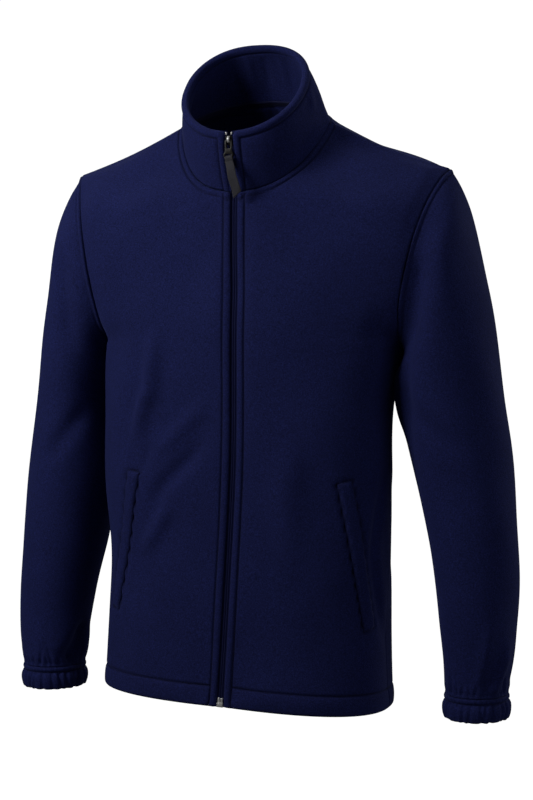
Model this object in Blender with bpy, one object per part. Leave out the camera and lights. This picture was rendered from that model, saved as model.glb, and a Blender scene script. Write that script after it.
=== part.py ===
"""Fleece zip jacket with a stand collar, set-in sleeves, welt pockets and elasticated cuffs.

The jacket keeps the hollow form of a worn garment with nobody in it.  Metres, +Z up, front
towards -Y, the wearer's left towards +X.  The origin is midway between the two points where
the shoulder seams meet the neck, which is where the wearer holds the jacket up.

The panels are first laid out as one thin skin, welded at the seams.  Each piece is then cut
out of that skin, trimmed back from its seams and given its thickness along the skin's normals,
so that neighbouring pieces meet face to face with an even gap.
"""
import math
from collections import namedtuple

import bmesh
import bpy
import numpy as np
from mathutils import Matrix, Vector

# Cloth
FLEECE = 0.0025
SEAM_GAP = 0.0004
LAYER_GAP = 0.0010
FULLEST_MITRE = 1.5
FULLNESS = 2.4

# Hem, collar and neck tape
HEM_LOFT = 0.0024
COLLAR_LOFT = 0.0024
COLLAR_SWELL = 0.0025
SHOULDER_DIP = 0.005
NECK_TAPE = 0.0010
RIM_HALF_WIDTH = 0.0725
RIM_HALF_DEPTH = 0.0515
RIM_BACK_POWER = 0.86
RIM_CENTRE_X = -0.0005
RIM_CENTRE_Y = -0.055
RIM_CENTRE_Z = 0.033
RIM_SLOPE = 1.067

# Zip
ZIP_HALF_SLOT = 0.0045
ZIP_MEETING_GAP = 0.00015
TAPE_GAP = 0.0008
TAPE_THICKNESS = 0.0008
TAPE_LAP = 0.0060
RIM_OPENING = 0.0024
SLIDER_BELOW_RIM = 0.0105
PLATE_HALF_WIDTH = 0.0040
REAR_HALF_WIDTH = 0.0030
PLATE_HALF_LENGTH = 0.0055
PLATE_THICKNESS = 0.0014
NECK_HALF_WIDTH = 0.0006
NECK_LENGTH = 0.0030
NECK_INSET = 0.0005
HINGE_STAND_OFF = 0.00135
BRIDGE_HALF_WIDTH = 0.0012
BRIDGE_HALF_LENGTH = 0.0025
BRIDGE_WALL = 0.0008
BAR_HALF = 0.0007
ARM_WIDTH = 0.0016
TAB_HALF_WIDTH = 0.0043
TAB_EYE_HALF_WIDTH = 0.0060
TAB_LENGTH = 0.0215
TAB_THICKNESS = 0.0013
TAB_WINDOW_FOOT = 0.0095
TAB_EYE_TOP = 0.0125
TAB_SLOT_HEIGHT = 0.0036
TAB_FOOT_BAR = 0.0013
RIBBON_HALF_WIDTH = 0.0050
RIBBON_LENGTH = 0.040
RIBBON_THICKNESS = 0.0012
RIBBON_ROWS = 12
STOP_WIDTH = 0.0019
STOP_LENGTH = 0.0028
STOP_THICKNESS = 0.0012
STOP_OFFSET = 0.0033
BOX_HALF_WIDTH = 0.0036
BOX_LENGTH = 0.0110
BOX_THICKNESS = 0.0020

TAPE_FRONT = -FLEECE / 2.0 - TAPE_GAP

# Pockets
WELT_WIDTH = 0.0185
WELT_THICKNESS = 0.0026
WELT_ROWS = 9
WELT_COLUMNS = 3
SKIRT_HEIGHT = 0.423
FINE_ROWS = 201
FINE_COLUMNS = 120
NORMAL_REACH = 0.004

# Grid of the skin
SIDE_COLUMNS = 10
SLEEVE_RINGS = 15
COLLAR_RISE = (0.0, 0.12, 0.34, 0.56, 0.78, 1.0)
HEM_LEVEL = 0.057
ROW_LEVELS = np.concatenate([
    [0.0],
    np.linspace(HEM_LEVEL, 1.0, 9),
    np.linspace(1.0, 2.0, 7)[1:],
    np.linspace(2.0, 3.0, 6)[1:],
])

# Levels run up each panel: 0 at the hem, 1 at the armpit, 2 where the neckline starts at the
# middle of the panel, and 3 at the shoulder seam.
Station = namedtuple("Station", "level x y z")
SideStation = namedtuple("SideStation", "level left_x right_x y left_z right_z")
Turn = namedtuple("Turn", "level front back")
Ring = namedtuple("Ring", "along x y z half_width half_depth tilt")
Welt = namedtuple("Welt", "top_across top_level foot_across foot_level")
CuffRing = namedtuple("CuffRing", "drop swell")
Bend = namedtuple("Bend", "along side forward")

ZIP_LINE = [
    Station(0.00, -0.0050, -0.1240, -0.6895),
    Station(0.28, 0.0005, -0.1180, -0.565),
    Station(0.68, 0.0080, -0.1145, -0.396),
    Station(1.00, 0.0075, -0.1110, -0.262),
    Station(1.33, 0.0065, -0.1050, -0.205),
    Station(1.67, 0.0030, -0.0970, -0.148),
    Station(2.00, 0.0000, -0.0880, -0.092),
]
SPINE_LINE = [
    Station(0.00, -0.0080, 0.0900, -0.690),
    Station(0.30, -0.0090, 0.0840, -0.565),
    Station(0.62, -0.0090, 0.0800, -0.430),
    Station(1.00, -0.0060, 0.0940, -0.262),
    Station(1.33, -0.0030, 0.1020, -0.170),
    Station(1.67, 0.0000, 0.0880, -0.070),
    Station(2.00, 0.0000, 0.0480, 0.020),
]
SIDE_LINE = [
    SideStation(0.00, 0.169, -0.186, -0.022, -0.6990, -0.685),
    SideStation(0.22, 0.165, -0.179, -0.022, -0.600, -0.598),
    SideStation(0.36, 0.168, -0.179, -0.021, -0.540, -0.540),
    SideStation(0.62, 0.168, -0.186, -0.020, -0.426, -0.426),
    SideStation(0.86, 0.171, -0.188, -0.014, -0.325, -0.325),
    SideStation(1.00, 0.184, -0.186, -0.008, -0.268, -0.268),
]
ARMHOLE_FRONT = [
    Station(1.00, 0.1850, -0.0080, -0.268),
    Station(1.25, 0.1865, -0.0440, -0.250),
    Station(1.50, 0.1900, -0.0600, -0.222),
    Station(1.75, 0.1970, -0.0650, -0.186),
    Station(2.00, 0.2050, -0.0610, -0.150),
    Station(2.25, 0.2130, -0.0510, -0.120),
    Station(2.50, 0.2210, -0.0360, -0.095),
    Station(2.75, 0.2290, -0.0180, -0.075),
    Station(3.00, 0.2350, 0.0000, -0.064),
]
ARMHOLE_BACK = [
    Station(1.00, 0.1850, -0.0080, -0.268),
    Station(1.25, 0.1880, 0.0360, -0.244),
    Station(1.50, 0.1970, 0.0600, -0.196),
    Station(1.75, 0.2110, 0.0600, -0.140),
    Station(2.00, 0.2240, 0.0420, -0.096),
    Station(2.33, 0.2295, 0.0280, -0.080),
    Station(2.67, 0.2330, 0.0140, -0.070),
    Station(3.00, 0.2350, 0.0000, -0.064),
]
NECK_FRONT = [
    Station(2.00, 0.0000, -0.0880, -0.092),
    Station(2.30, 0.0400, -0.0780, -0.082),
    Station(2.60, 0.0700, -0.0530, -0.057),
    Station(2.80, 0.0845, -0.0330, -0.032),
    Station(3.00, 0.0920, -0.0120, -0.008),
]
NECK_BACK = [
    Station(2.00, 0.0000, 0.0480, 0.020),
    Station(2.30, 0.0360, 0.0430, 0.017),
    Station(2.60, 0.0660, 0.0260, 0.009),
    Station(2.80, 0.0830, 0.0080, 0.000),
    Station(3.00, 0.0920, -0.0120, -0.008),
]
TURNS = [
    Turn(0.00, 90.0, 90.0),
    Turn(1.00, 90.0, 90.0),
    Turn(1.25, 78.0, 74.0),
    Turn(1.50, 67.0, 62.0),
    Turn(2.00, 58.0, 52.0),
    Turn(3.00, 36.0, 36.0),
]
SLEEVE_LEFT = [
    Ring(0.16, 0.2225, 0.001, -0.202, 0.0930, 0.0690, 68.0),
    Ring(0.30, 0.2265, 0.003, -0.259, 0.0745, 0.0710, 48.0),
    Ring(0.44, 0.2360, 0.004, -0.325, 0.0612, 0.0690, 18.0),
    Ring(0.58, 0.2530, 0.000, -0.413, 0.0575, 0.0640, 5.0),
    Ring(0.76, 0.2715, -0.010, -0.518, 0.0485, 0.0550, 0.0),
    Ring(0.87, 0.2775, -0.016, -0.584, 0.0430, 0.0490, 0.0),
    Ring(0.94, 0.2795, -0.018, -0.631, 0.0400, 0.0445, 0.0),
    Ring(1.00, 0.2760, -0.020, -0.672, 0.0360, 0.0405, 0.0),
]
SLEEVE_RIGHT = [
    Ring(0.16, 0.2230, 0.001, -0.204, 0.0870, 0.0690, 68.0),
    Ring(0.30, 0.2325, 0.003, -0.261, 0.0615, 0.0690, 48.0),
    Ring(0.44, 0.2420, 0.004, -0.330, 0.0470, 0.0670, 18.0),
    Ring(0.58, 0.2468, 0.000, -0.413, 0.0518, 0.0620, 5.0),
    Ring(0.76, 0.2565, -0.010, -0.518, 0.0502, 0.0560, 0.0),
    Ring(0.87, 0.2662, -0.016, -0.584, 0.0446, 0.0495, 0.0),
    Ring(0.94, 0.2690, -0.018, -0.631, 0.0400, 0.0450, 0.0),
    Ring(1.00, 0.2680, -0.020, -0.672, 0.0365, 0.0415, 0.0),
]
CUFF_RINGS = [
    CuffRing(0.0003, -0.0005),
    CuffRing(0.0035, -0.0016),
    CuffRing(0.0068, -0.0010),
    CuffRing(0.0135, 0.0016),
    CuffRing(0.0225, 0.0014),
    CuffRing(0.0282, -0.0004),
]
WELTS = {
    "left": Welt(0.119, 0.615, 0.164, 0.215),
    "right": Welt(0.119, 0.640, 0.148, 0.240),
}
RIBBON_BENDS = [
    Bend(0.00, 0.0000, 0.0000),
    Bend(0.20, 0.0008, 0.0012),
    Bend(0.45, 0.0030, 0.0026),
    Bend(0.70, 0.0066, 0.0006),
    Bend(1.00, 0.0100, -0.0020),
]

SIDES = {"left": 1.0, "right": -1.0}
PIECES = ("front_left", "front_right", "back", "sleeve_left", "sleeve_right", "collar")
NAVY = (0.012, 0.015, 0.085, 1.0)
NAVY_DARK = (0.008, 0.010, 0.055, 1.0)
BLACK_METAL = (0.010, 0.010, 0.012, 1.0)
SILVER = (0.600, 0.600, 0.600, 1.0)
RIBBON_GREY = (0.045, 0.045, 0.055, 1.0)


def clear_scene():
    """Remove whatever objects the file starts with."""
    for item in list(bpy.data.objects):
        bpy.data.objects.remove(item, do_unlink=True)


def finish_material(name, colour, roughness, metallic=0.0):
    """Principled material in one colour."""
    material = bpy.data.materials.new(name)
    material.use_nodes = True
    shader = material.node_tree.nodes["Principled BSDF"]
    shader.inputs["Base Color"].default_value = colour
    shader.inputs["Roughness"].default_value = roughness
    shader.inputs["Metallic"].default_value = metallic
    return material


def smooth_line(stations, places):
    """Points on the smooth curve through the stations, whose first column is the place along it."""
    table = np.array(stations, dtype=float)
    knots = table[:, 0]
    values = table[:, 1:]
    slopes = np.gradient(values, knots, axis=0)
    low = np.clip(np.searchsorted(knots, places, side="right") - 1, 0, len(knots) - 2)
    span = (knots[low + 1] - knots[low])[:, None]
    part = (np.asarray(places)[:, None] - knots[low][:, None]) / span
    rise = part * part * (3.0 - 2.0 * part)
    leave = part * (1.0 - part) ** 2
    arrive = part * part * (part - 1.0)
    return (values[low] * (1.0 - rise) + values[low + 1] * rise
            + (slopes[low] * leave + slopes[low + 1] * arrive) * span)


def middle_edge(middle, neckline, side, levels, half_slot):
    """The edge of a half panel at the middle of the body, then along the neckline."""
    below = smooth_line(middle, np.minimum(levels, 2.0))
    above = smooth_line(neckline, np.maximum(levels, 2.0))
    above[:, 0] = side * np.maximum(above[:, 0], half_slot)
    below[:, 0] += side * half_slot
    return np.where((levels <= 2.0)[:, None], below, above)


def outer_edge(armhole, side, levels):
    """The edge of a half panel down the armhole and the side seam."""
    seam = smooth_line(SIDE_LINE, np.minimum(levels, 1.0))
    columns = (0, 2, 3) if side > 0.0 else (1, 2, 4)
    below = seam[:, columns]
    above = smooth_line(armhole, np.maximum(levels, 1.0))
    above[:, 0] *= side
    armpit = levels == 1.0
    below[armpit] = above[armpit]
    return np.where((levels <= 1.0)[:, None], below, above)


def half_panel(inner, outer, turns, levels, columns):
    """Grid of points whose rows run round the body from the inner edge to the outer edge."""
    power = 2.0 / FULLNESS
    share = np.linspace(0.0, 1.0, columns + 1)[None, :]
    full = np.radians(turns)[:, None]
    across = (np.sin(share * full) / np.sin(full)) ** power
    back_in = (1.0 - np.cos(share * full) ** power) / (1.0 - np.cos(full) ** power)
    reach = (outer - inner)[:, None, :]
    weights = np.stack([across, back_in, across], axis=-1)
    points = inner[:, None, :] + reach * weights
    dip = SHOULDER_DIP * np.clip(levels - 2.0, 0.0, 1.0)[:, None]
    points[:, :, 2] -= dip * np.sin(np.pi * across)
    return points


def front_panel(side, levels, columns):
    """Half of the front of the body, from the zip to the side seam."""
    inner = middle_edge(ZIP_LINE, NECK_FRONT, side, levels, ZIP_HALF_SLOT)
    outer = outer_edge(ARMHOLE_FRONT, side, levels)
    return half_panel(inner, outer, row_turns(levels)[:, 0], levels, columns)


def back_half(side, levels, columns):
    """Half of the back, from the middle of the back to the side seam."""
    inner = middle_edge(SPINE_LINE, NECK_BACK, side, levels, 0.0)
    outer = outer_edge(ARMHOLE_BACK, side, levels)
    return half_panel(inner, outer, row_turns(levels)[:, 1], levels, columns)


def row_turns(levels):
    """How far each row turns round the body, in degrees, on the front and on the back."""
    table = np.array(TURNS, dtype=float)
    front = np.interp(levels, table[:, 0], table[:, 1])
    back = np.interp(levels, table[:, 0], table[:, 2])
    return np.stack([front, back], axis=-1)


def armhole_loop(side, levels):
    """Points round an armhole from the armpit up the front and down the back to the armpit."""
    upper = levels[levels >= 1.0]
    front = outer_edge(ARMHOLE_FRONT, side, upper)
    back = outer_edge(ARMHOLE_BACK, side, upper)
    return np.concatenate([front, back[::-1][1:]])


def arc_shares(points):
    """How far along an open line of points each one lies, from 0 to 1."""
    steps = np.linalg.norm(np.diff(points, axis=0), axis=1)
    run = np.concatenate([[0.0], np.cumsum(steps)])
    return run / run[-1]


def sleeve_ring(ring, side, angles):
    """One turn of a sleeve: an ellipse that tilts up at its outer side."""
    tilt = math.radians(ring.tilt)
    reach = ring.half_width * np.cos(angles)
    x = side * (ring.x + reach * math.cos(tilt))
    y = ring.y - ring.half_depth * np.sin(angles)
    z = ring.z + reach * math.sin(tilt)
    return np.stack([x, y, z], axis=-1)


def sleeve_panel(side, rings, loop, places):
    """Grid of points round a sleeve from its armhole down to the cuff."""
    top = len(loop) // 2
    front = np.pi * (1.0 - arc_shares(loop[:top + 1]))
    back = -np.pi * arc_shares(loop[top:])
    angles = np.concatenate([front, back[1:]])
    keys = [loop] + [sleeve_ring(ring, side, angles) for ring in rings]
    along = [0.0] + [ring.along for ring in rings]
    table = np.column_stack([along, np.array(keys).reshape(len(keys), -1)])
    return smooth_line(table, places).reshape(len(places), len(loop), 3)


def neckline(side, levels):
    """Points round half of the neck seam, from the zip to the middle of the back."""
    upper = levels[levels >= 2.0]
    front = middle_edge(ZIP_LINE, NECK_FRONT, side, upper, ZIP_HALF_SLOT)
    back = middle_edge(SPINE_LINE, NECK_BACK, side, upper, 0.0)
    return np.concatenate([front, back[::-1][1:]])


def rim_points(side, shares):
    """Points round half of the collar's rim, which lies in a plane that rises to the back."""
    first = math.asin(ZIP_HALF_SLOT / RIM_HALF_WIDTH)
    angles = first + (np.pi - first) * shares
    power = np.where(np.cos(angles) < 0.0, RIM_BACK_POWER, 1.0)
    across = np.abs(np.sin(angles)) ** power
    ahead = np.copysign(np.abs(np.cos(angles)) ** power, np.cos(angles))
    x = side * RIM_HALF_WIDTH * across + RIM_CENTRE_X * np.sin(angles) ** 2
    y = RIM_CENTRE_Y - RIM_HALF_DEPTH * ahead
    z = RIM_CENTRE_Z + RIM_SLOPE * (y - RIM_CENTRE_Y)
    return np.stack([x, y, z], axis=-1)


def collar_half(side, levels, rise):
    """Grid of points up half of the collar, from the neck seam to the rim."""
    foot = neckline(side, levels)
    rim = rim_points(side, arc_shares(foot))
    outward = rim - np.array([0.0, RIM_CENTRE_Y, RIM_CENTRE_Z])
    outward[:, 2] = 0.0
    outward /= np.linalg.norm(outward, axis=1)[:, None]
    height = np.array(rise)[:, None, None]
    swell = COLLAR_SWELL * np.sin(np.pi * height)
    return foot * (1.0 - height) + rim * height + outward * swell


def add_grid(skin, points, piece):
    """Add a grid of faces through the points, tagged with the piece and the row they belong to."""
    rows, columns = points.shape[:2]
    piece_tag = skin.faces.layers.int["piece"]
    row_tag = skin.faces.layers.int["row"]
    made = bmesh.ops.create_grid(skin, x_segments=columns - 1, y_segments=rows - 1, size=1.0)
    faces = {face for vert in made["verts"] for face in vert.link_faces}
    for face in faces:
        middle = face.calc_center_median()
        face[piece_tag] = piece
        face[row_tag] = int((middle.y + 1.0) / 2.0 * (rows - 1))
    for vert in made["verts"]:
        column = round((vert.co.x + 1.0) / 2.0 * (columns - 1))
        row = round((vert.co.y + 1.0) / 2.0 * (rows - 1))
        vert.co = points[row, column]


def lay_out_skin():
    """The whole jacket as one surface with no thickness, welded along its seams."""
    skin = bmesh.new()
    skin.faces.layers.int.new("piece")
    skin.faces.layers.int.new("row")
    places = np.linspace(0.0, 1.0, SLEEVE_RINGS + 1) ** 0.9
    rings = {"left": SLEEVE_LEFT, "right": SLEEVE_RIGHT}
    for name, side in SIDES.items():
        front = front_panel(side, ROW_LEVELS, SIDE_COLUMNS)
        add_grid(skin, front, PIECES.index("front_" + name))
        add_grid(skin, back_half(side, ROW_LEVELS, SIDE_COLUMNS), PIECES.index("back"))
        loop = armhole_loop(side, ROW_LEVELS)
        sleeve = sleeve_panel(side, rings[name], loop, places)
        add_grid(skin, sleeve, PIECES.index("sleeve_" + name))
        add_grid(skin, collar_half(side, ROW_LEVELS, COLLAR_RISE), PIECES.index("collar"))
    bmesh.ops.remove_doubles(skin, verts=skin.verts, dist=0.00005)
    bmesh.ops.recalc_face_normals(skin, faces=skin.faces)
    skin.normal_update()
    return skin


def edge_inset(vert, faces, normal):
    """The step that moves a vertex half a seam gap back from the edges of its own piece."""
    steps = []
    for edge in vert.link_edges:
        own = [face for face in edge.link_faces if face in faces]
        if len(own) != 1:
            continue
        along = edge.other_vert(vert).co - vert.co
        step = normal.cross(along).normalized()
        if step.dot(own[0].calc_center_median() - vert.co) < 0.0:
            step.negate()
        steps.append(step)
    if not steps:
        return Vector()
    if len(steps) == 1:
        return steps[0] * SEAM_GAP / 2.0
    shared = max(1.0 + steps[0].dot(steps[1]), 0.5)
    return (steps[0] + steps[1]) / shared * SEAM_GAP / 2.0


def cut_out(skin, faces, low, high):
    """A closed wall over some faces of the skin, between two heights along its normals."""
    faces = set(faces)
    verts = {vert for face in faces for vert in face.verts}
    wall = bmesh.new()
    lifts = []
    lower = {}
    for vert in sorted(verts, key=lambda item: item.index):
        normal = vert.normal
        mitre = min(vert.calc_shell_factor(), FULLEST_MITRE)
        base = vert.co + edge_inset(vert, faces, normal)
        lower[vert] = wall.verts.new(base + normal * low * mitre)
        lifts.append(base + normal * high * mitre)
    for face in sorted(faces, key=lambda item: item.index):
        wall.faces.new([lower[vert] for vert in face.verts])
    wall.verts.index_update()
    order = wall.verts.layers.int.new("order")
    for vert in wall.verts:
        vert[order] = vert.index
    made = bmesh.ops.extrude_face_region(wall, geom=wall.faces[:], use_keep_orig=True)
    for item in made["geom"]:
        if isinstance(item, bmesh.types.BMVert):
            item.co = lifts[item[order]]
    bmesh.ops.recalc_face_normals(wall, faces=wall.faces)
    return wall


def wall_between(lower, upper):
    """A closed wall between two grids of points, which are open or come round to their start."""
    wall = bmesh.new()
    rows, columns = lower.shape[:2]
    row = wall.verts.layers.int.new("row")
    column = wall.verts.layers.int.new("column")
    made = bmesh.ops.create_grid(wall, x_segments=columns - 1, y_segments=rows - 1, size=1.0)
    for vert in made["verts"]:
        vert[column] = round((vert.co.x + 1.0) / 2.0 * (columns - 1))
        vert[row] = round((vert.co.y + 1.0) / 2.0 * (rows - 1))
        vert.co = lower[vert[row], vert[column]]
    bmesh.ops.remove_doubles(wall, verts=wall.verts, dist=0.00002)
    made = bmesh.ops.extrude_face_region(wall, geom=wall.faces[:], use_keep_orig=True)
    for item in made["geom"]:
        if isinstance(item, bmesh.types.BMVert):
            item.co = upper[item[row], item[column]]
    bmesh.ops.recalc_face_normals(wall, faces=wall.faces)
    return wall


def add_piece(name, shape, material, parent=None):
    """Turn a finished bmesh into an object with its own material."""
    mesh = bpy.data.meshes.new(name)
    shape.to_mesh(mesh)
    shape.free()
    mesh.materials.append(material)
    mesh.shade_smooth()
    mesh.set_sharp_from_angle(angle=math.radians(50.0))
    item = bpy.data.objects.new(name, mesh)
    bpy.context.scene.collection.objects.link(item)
    item.parent = parent
    return item


def faces_of(skin, piece, rows=None):
    """The faces of one piece of the skin, or only those in some of its rows."""
    piece_tag = skin.faces.layers.int["piece"]
    row_tag = skin.faces.layers.int["row"]
    wanted = PIECES.index(piece)
    return [face for face in skin.faces
            if face[piece_tag] == wanted and (rows is None or face[row_tag] in rows)]


def make_panels(skin):
    """The six outer pieces of cloth."""
    half = FLEECE / 2.0
    for piece in PIECES:
        name = "collar_outer" if piece == "collar" else piece
        material = finish_material(name, NAVY, 0.95)
        add_piece(name, cut_out(skin, faces_of(skin, piece), -half, half), material)


def make_hem(skin):
    """The turned-up layer of the hem, inside the foot of each panel."""
    high = -FLEECE / 2.0 - HEM_LOFT
    for piece, name in (("front_left", "hem_left"), ("front_right", "hem_right"), ("back", "hem_back")):
        wall = cut_out(skin, faces_of(skin, piece, rows=(0,)), high - FLEECE, high)
        add_piece(name, wall, finish_material(name, NAVY, 0.95))


def make_collar_inside(skin):
    """The inner layer of the collar, and the tape that covers the neck seam behind the neck."""
    high = -FLEECE / 2.0 - COLLAR_LOFT
    wall = cut_out(skin, faces_of(skin, "collar"), high - FLEECE, high)
    add_piece("collar_inner", wall, finish_material("collar_inner", NAVY_DARK, 0.95))
    top = high - FLEECE - SEAM_GAP
    band = [face for face in faces_of(skin, "collar", rows=(0,))
            if face.calc_center_median().y > NECK_FRONT[-1].y]
    wall = cut_out(skin, band, top - NECK_TAPE, top)
    add_piece("neck_tape", wall, finish_material("neck_tape", NAVY_DARK, 0.85))


def make_cuff(name, side, ring, loop):
    """An elasticated cuff: a narrow casing over a short frill."""
    top = len(loop) // 2
    front = np.pi * (1.0 - arc_shares(loop[:top + 1]))
    back = -np.pi * arc_shares(loop[top:])
    angles = np.concatenate([front, back[1:]])
    walls = []
    for out in (-FLEECE / 2.0, FLEECE / 2.0):
        turns = [ring._replace(z=ring.z - row.drop, half_width=ring.half_width + row.swell + out,
                               half_depth=ring.half_depth + row.swell + out) for row in CUFF_RINGS]
        walls.append(np.array([sleeve_ring(turn, side, angles) for turn in turns]))
    add_piece("cuff_" + name, wall_between(*walls), finish_material("cuff_" + name, NAVY, 0.95))


def make_welt(name, side, welt):
    """A pocket welt: a slanted strip that lies on the front."""
    along = np.linspace(0.0, 1.0, WELT_ROWS)
    fine = front_panel(side, np.linspace(0.0, 1.0, FINE_ROWS), FINE_COLUMNS)
    run = np.cumsum(np.linalg.norm(np.diff(fine, axis=1), axis=2), axis=1)
    run = np.concatenate([np.zeros((len(fine), 1)), run], axis=1)
    levels = welt.top_level + (welt.foot_level - welt.top_level) * along
    starts = welt.top_across + (welt.foot_across - welt.top_across) * along
    drop = (welt.top_level - welt.foot_level) * SKIRT_HEIGHT
    slope = (welt.foot_across - welt.top_across) / drop
    lower = np.zeros((WELT_ROWS, WELT_COLUMNS, 3))
    upper = np.zeros((WELT_ROWS, WELT_COLUMNS, 3))
    for row in range(WELT_ROWS):
        for column in range(WELT_COLUMNS):
            across = WELT_WIDTH * column / (WELT_COLUMNS - 1)
            level = levels[row] + slope * across / SKIRT_HEIGHT
            place, normal = surface_point(fine, run, level, starts[row] + across, side)
            low = FLEECE / 2.0 + LAYER_GAP
            lower[row, column] = place + normal * low
            upper[row, column] = place + normal * (low + WELT_THICKNESS)
    add_piece("pocket_welt_" + name, wall_between(lower, upper),
              finish_material("pocket_welt_" + name, NAVY, 0.95))


def surface_point(fine, run, level, across, side):
    """The point and outward normal of a panel at a level and a distance round from its inner edge."""
    row = level * (len(fine) - 1)
    base = int(row)
    line = fine[base] + (fine[base + 1] - fine[base]) * (row - base)
    place = np.array([np.interp(across, run[base], line[:, axis]) for axis in range(3)])
    ahead = np.array([np.interp(across + NORMAL_REACH, run[base], line[:, axis]) for axis in range(3)])
    above = np.array([np.interp(across, run[base], fine[base + 2][:, axis]) for axis in range(3)])
    normal = np.cross(ahead - place, above - place) * side
    return place, normal / np.linalg.norm(normal)


def zip_edge(side):
    """Edge points and directions of one side of the front opening, from the hem to the rim."""
    body = front_panel(side, ROW_LEVELS[ROW_LEVELS < 2.0], SIDE_COLUMNS)
    collar = collar_half(side, ROW_LEVELS, COLLAR_RISE)
    edge = np.concatenate([body[:, 0], collar[:, 0]])
    inside = np.concatenate([body[:, 1], collar[:, 1]])
    across = inside - edge
    across /= np.linalg.norm(across, axis=1)[:, None]
    along = np.gradient(edge, axis=0)
    normal = np.cross(across, along) * side
    normal /= np.linalg.norm(normal, axis=1)[:, None]
    return edge, across, normal


def make_zip_tape(name, side):
    """One half of the zip, behind the folded edge of its front."""
    edge, across, normal = zip_edge(side)
    meeting = np.full(len(edge), ZIP_HALF_SLOT - ZIP_MEETING_GAP)
    meeting[-1] = ZIP_HALF_SLOT - RIM_OPENING
    middle = edge - side * meeting[:, None] * np.array([1.0, 0.0, 0.0])
    level = normal * np.array([0.0, 1.0, 1.0])
    level /= np.linalg.norm(level, axis=1)[:, None]
    base = np.stack([middle, edge, edge + across * TAPE_LAP], axis=1)
    normals = np.stack([level, normal, normal], axis=1)
    upper = base + normals * TAPE_FRONT
    lower = base + normals * (TAPE_FRONT - TAPE_THICKNESS)
    add_piece("zip_tape_" + name, wall_between(lower, upper),
              finish_material("zip_tape_" + name, NAVY_DARK, 0.7))


def zip_frame(end, distance):
    """Frame on the closed zip: X across it, Y up it, Z out of it, at a distance from one end."""
    edges = [zip_edge(side)[0] for side in (1.0, -1.0)]
    middle = (edges[0] + edges[1]) / 2.0
    pair = (middle[-1], middle[-2]) if end == "rim" else (middle[1], middle[0])
    up = Vector(pair[0] - pair[1]).normalized()
    across = (Vector((1.0, 0.0, 0.0)) - up * up.x).normalized()
    outward = across.cross(up)
    start = Vector(pair[0] if end == "rim" else pair[1])
    origin = start - up * distance if end == "rim" else start + up * distance
    turn = Matrix((across, up, outward)).transposed().to_4x4()
    return Matrix.Translation(origin) @ turn


def rectangle(half_width, low, high, out):
    """Corners of a rectangle in a zip frame, from its half width, its two ends and its height."""
    return [Vector((-half_width, low, out)), Vector((half_width, low, out)),
            Vector((half_width, high, out)), Vector((-half_width, high, out))]


def stack(sections, frame):
    """A closed solid through rectangles that lie one above the other, placed in a frame."""
    shape = bmesh.new()
    top = shape.faces.new([shape.verts.new(corner) for corner in sections[0]])
    for number, section in enumerate(sections[1:]):
        made = bmesh.ops.extrude_face_region(shape, geom=[top], use_keep_orig=True)
        if number > 0:
            shape.faces.remove(top)
        top = next(item for item in made["geom"] if isinstance(item, bmesh.types.BMFace))
        for vert in top.verts:
            nearest = min(sections[number], key=lambda corner: (corner - vert.co).length)
            vert.co = section[sections[number].index(nearest)]
    bmesh.ops.recalc_face_normals(shape, faces=shape.faces)
    bmesh.ops.transform(shape, matrix=frame, verts=shape.verts)
    return shape


def arch(frame, foot):
    """The bridge over the tab's bar: an arch that runs up the slider, open from side to side."""
    inner = BRIDGE_HALF_LENGTH - BRIDGE_WALL
    ceiling = foot + HINGE_STAND_OFF * 2.0
    low = foot + SEAM_GAP
    outline = [(-BRIDGE_HALF_LENGTH, low), (-inner, low), (-inner, ceiling), (inner, ceiling),
               (inner, low), (BRIDGE_HALF_LENGTH, low),
               (BRIDGE_HALF_LENGTH, ceiling + BRIDGE_WALL),
               (-BRIDGE_HALF_LENGTH, ceiling + BRIDGE_WALL)]
    shape = bmesh.new()
    start = [shape.verts.new((-BRIDGE_HALF_WIDTH, up, out)) for up, out in outline]
    face = shape.faces.new(start)
    made = bmesh.ops.extrude_face_region(shape, geom=[face], use_keep_orig=True)
    moved = [item for item in made["geom"] if isinstance(item, bmesh.types.BMVert)]
    bmesh.ops.translate(shape, verts=moved, vec=(2.0 * BRIDGE_HALF_WIDTH, 0.0, 0.0))
    bmesh.ops.recalc_face_normals(shape, faces=shape.faces)
    bmesh.ops.transform(shape, matrix=frame, verts=shape.verts)
    return shape


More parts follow.
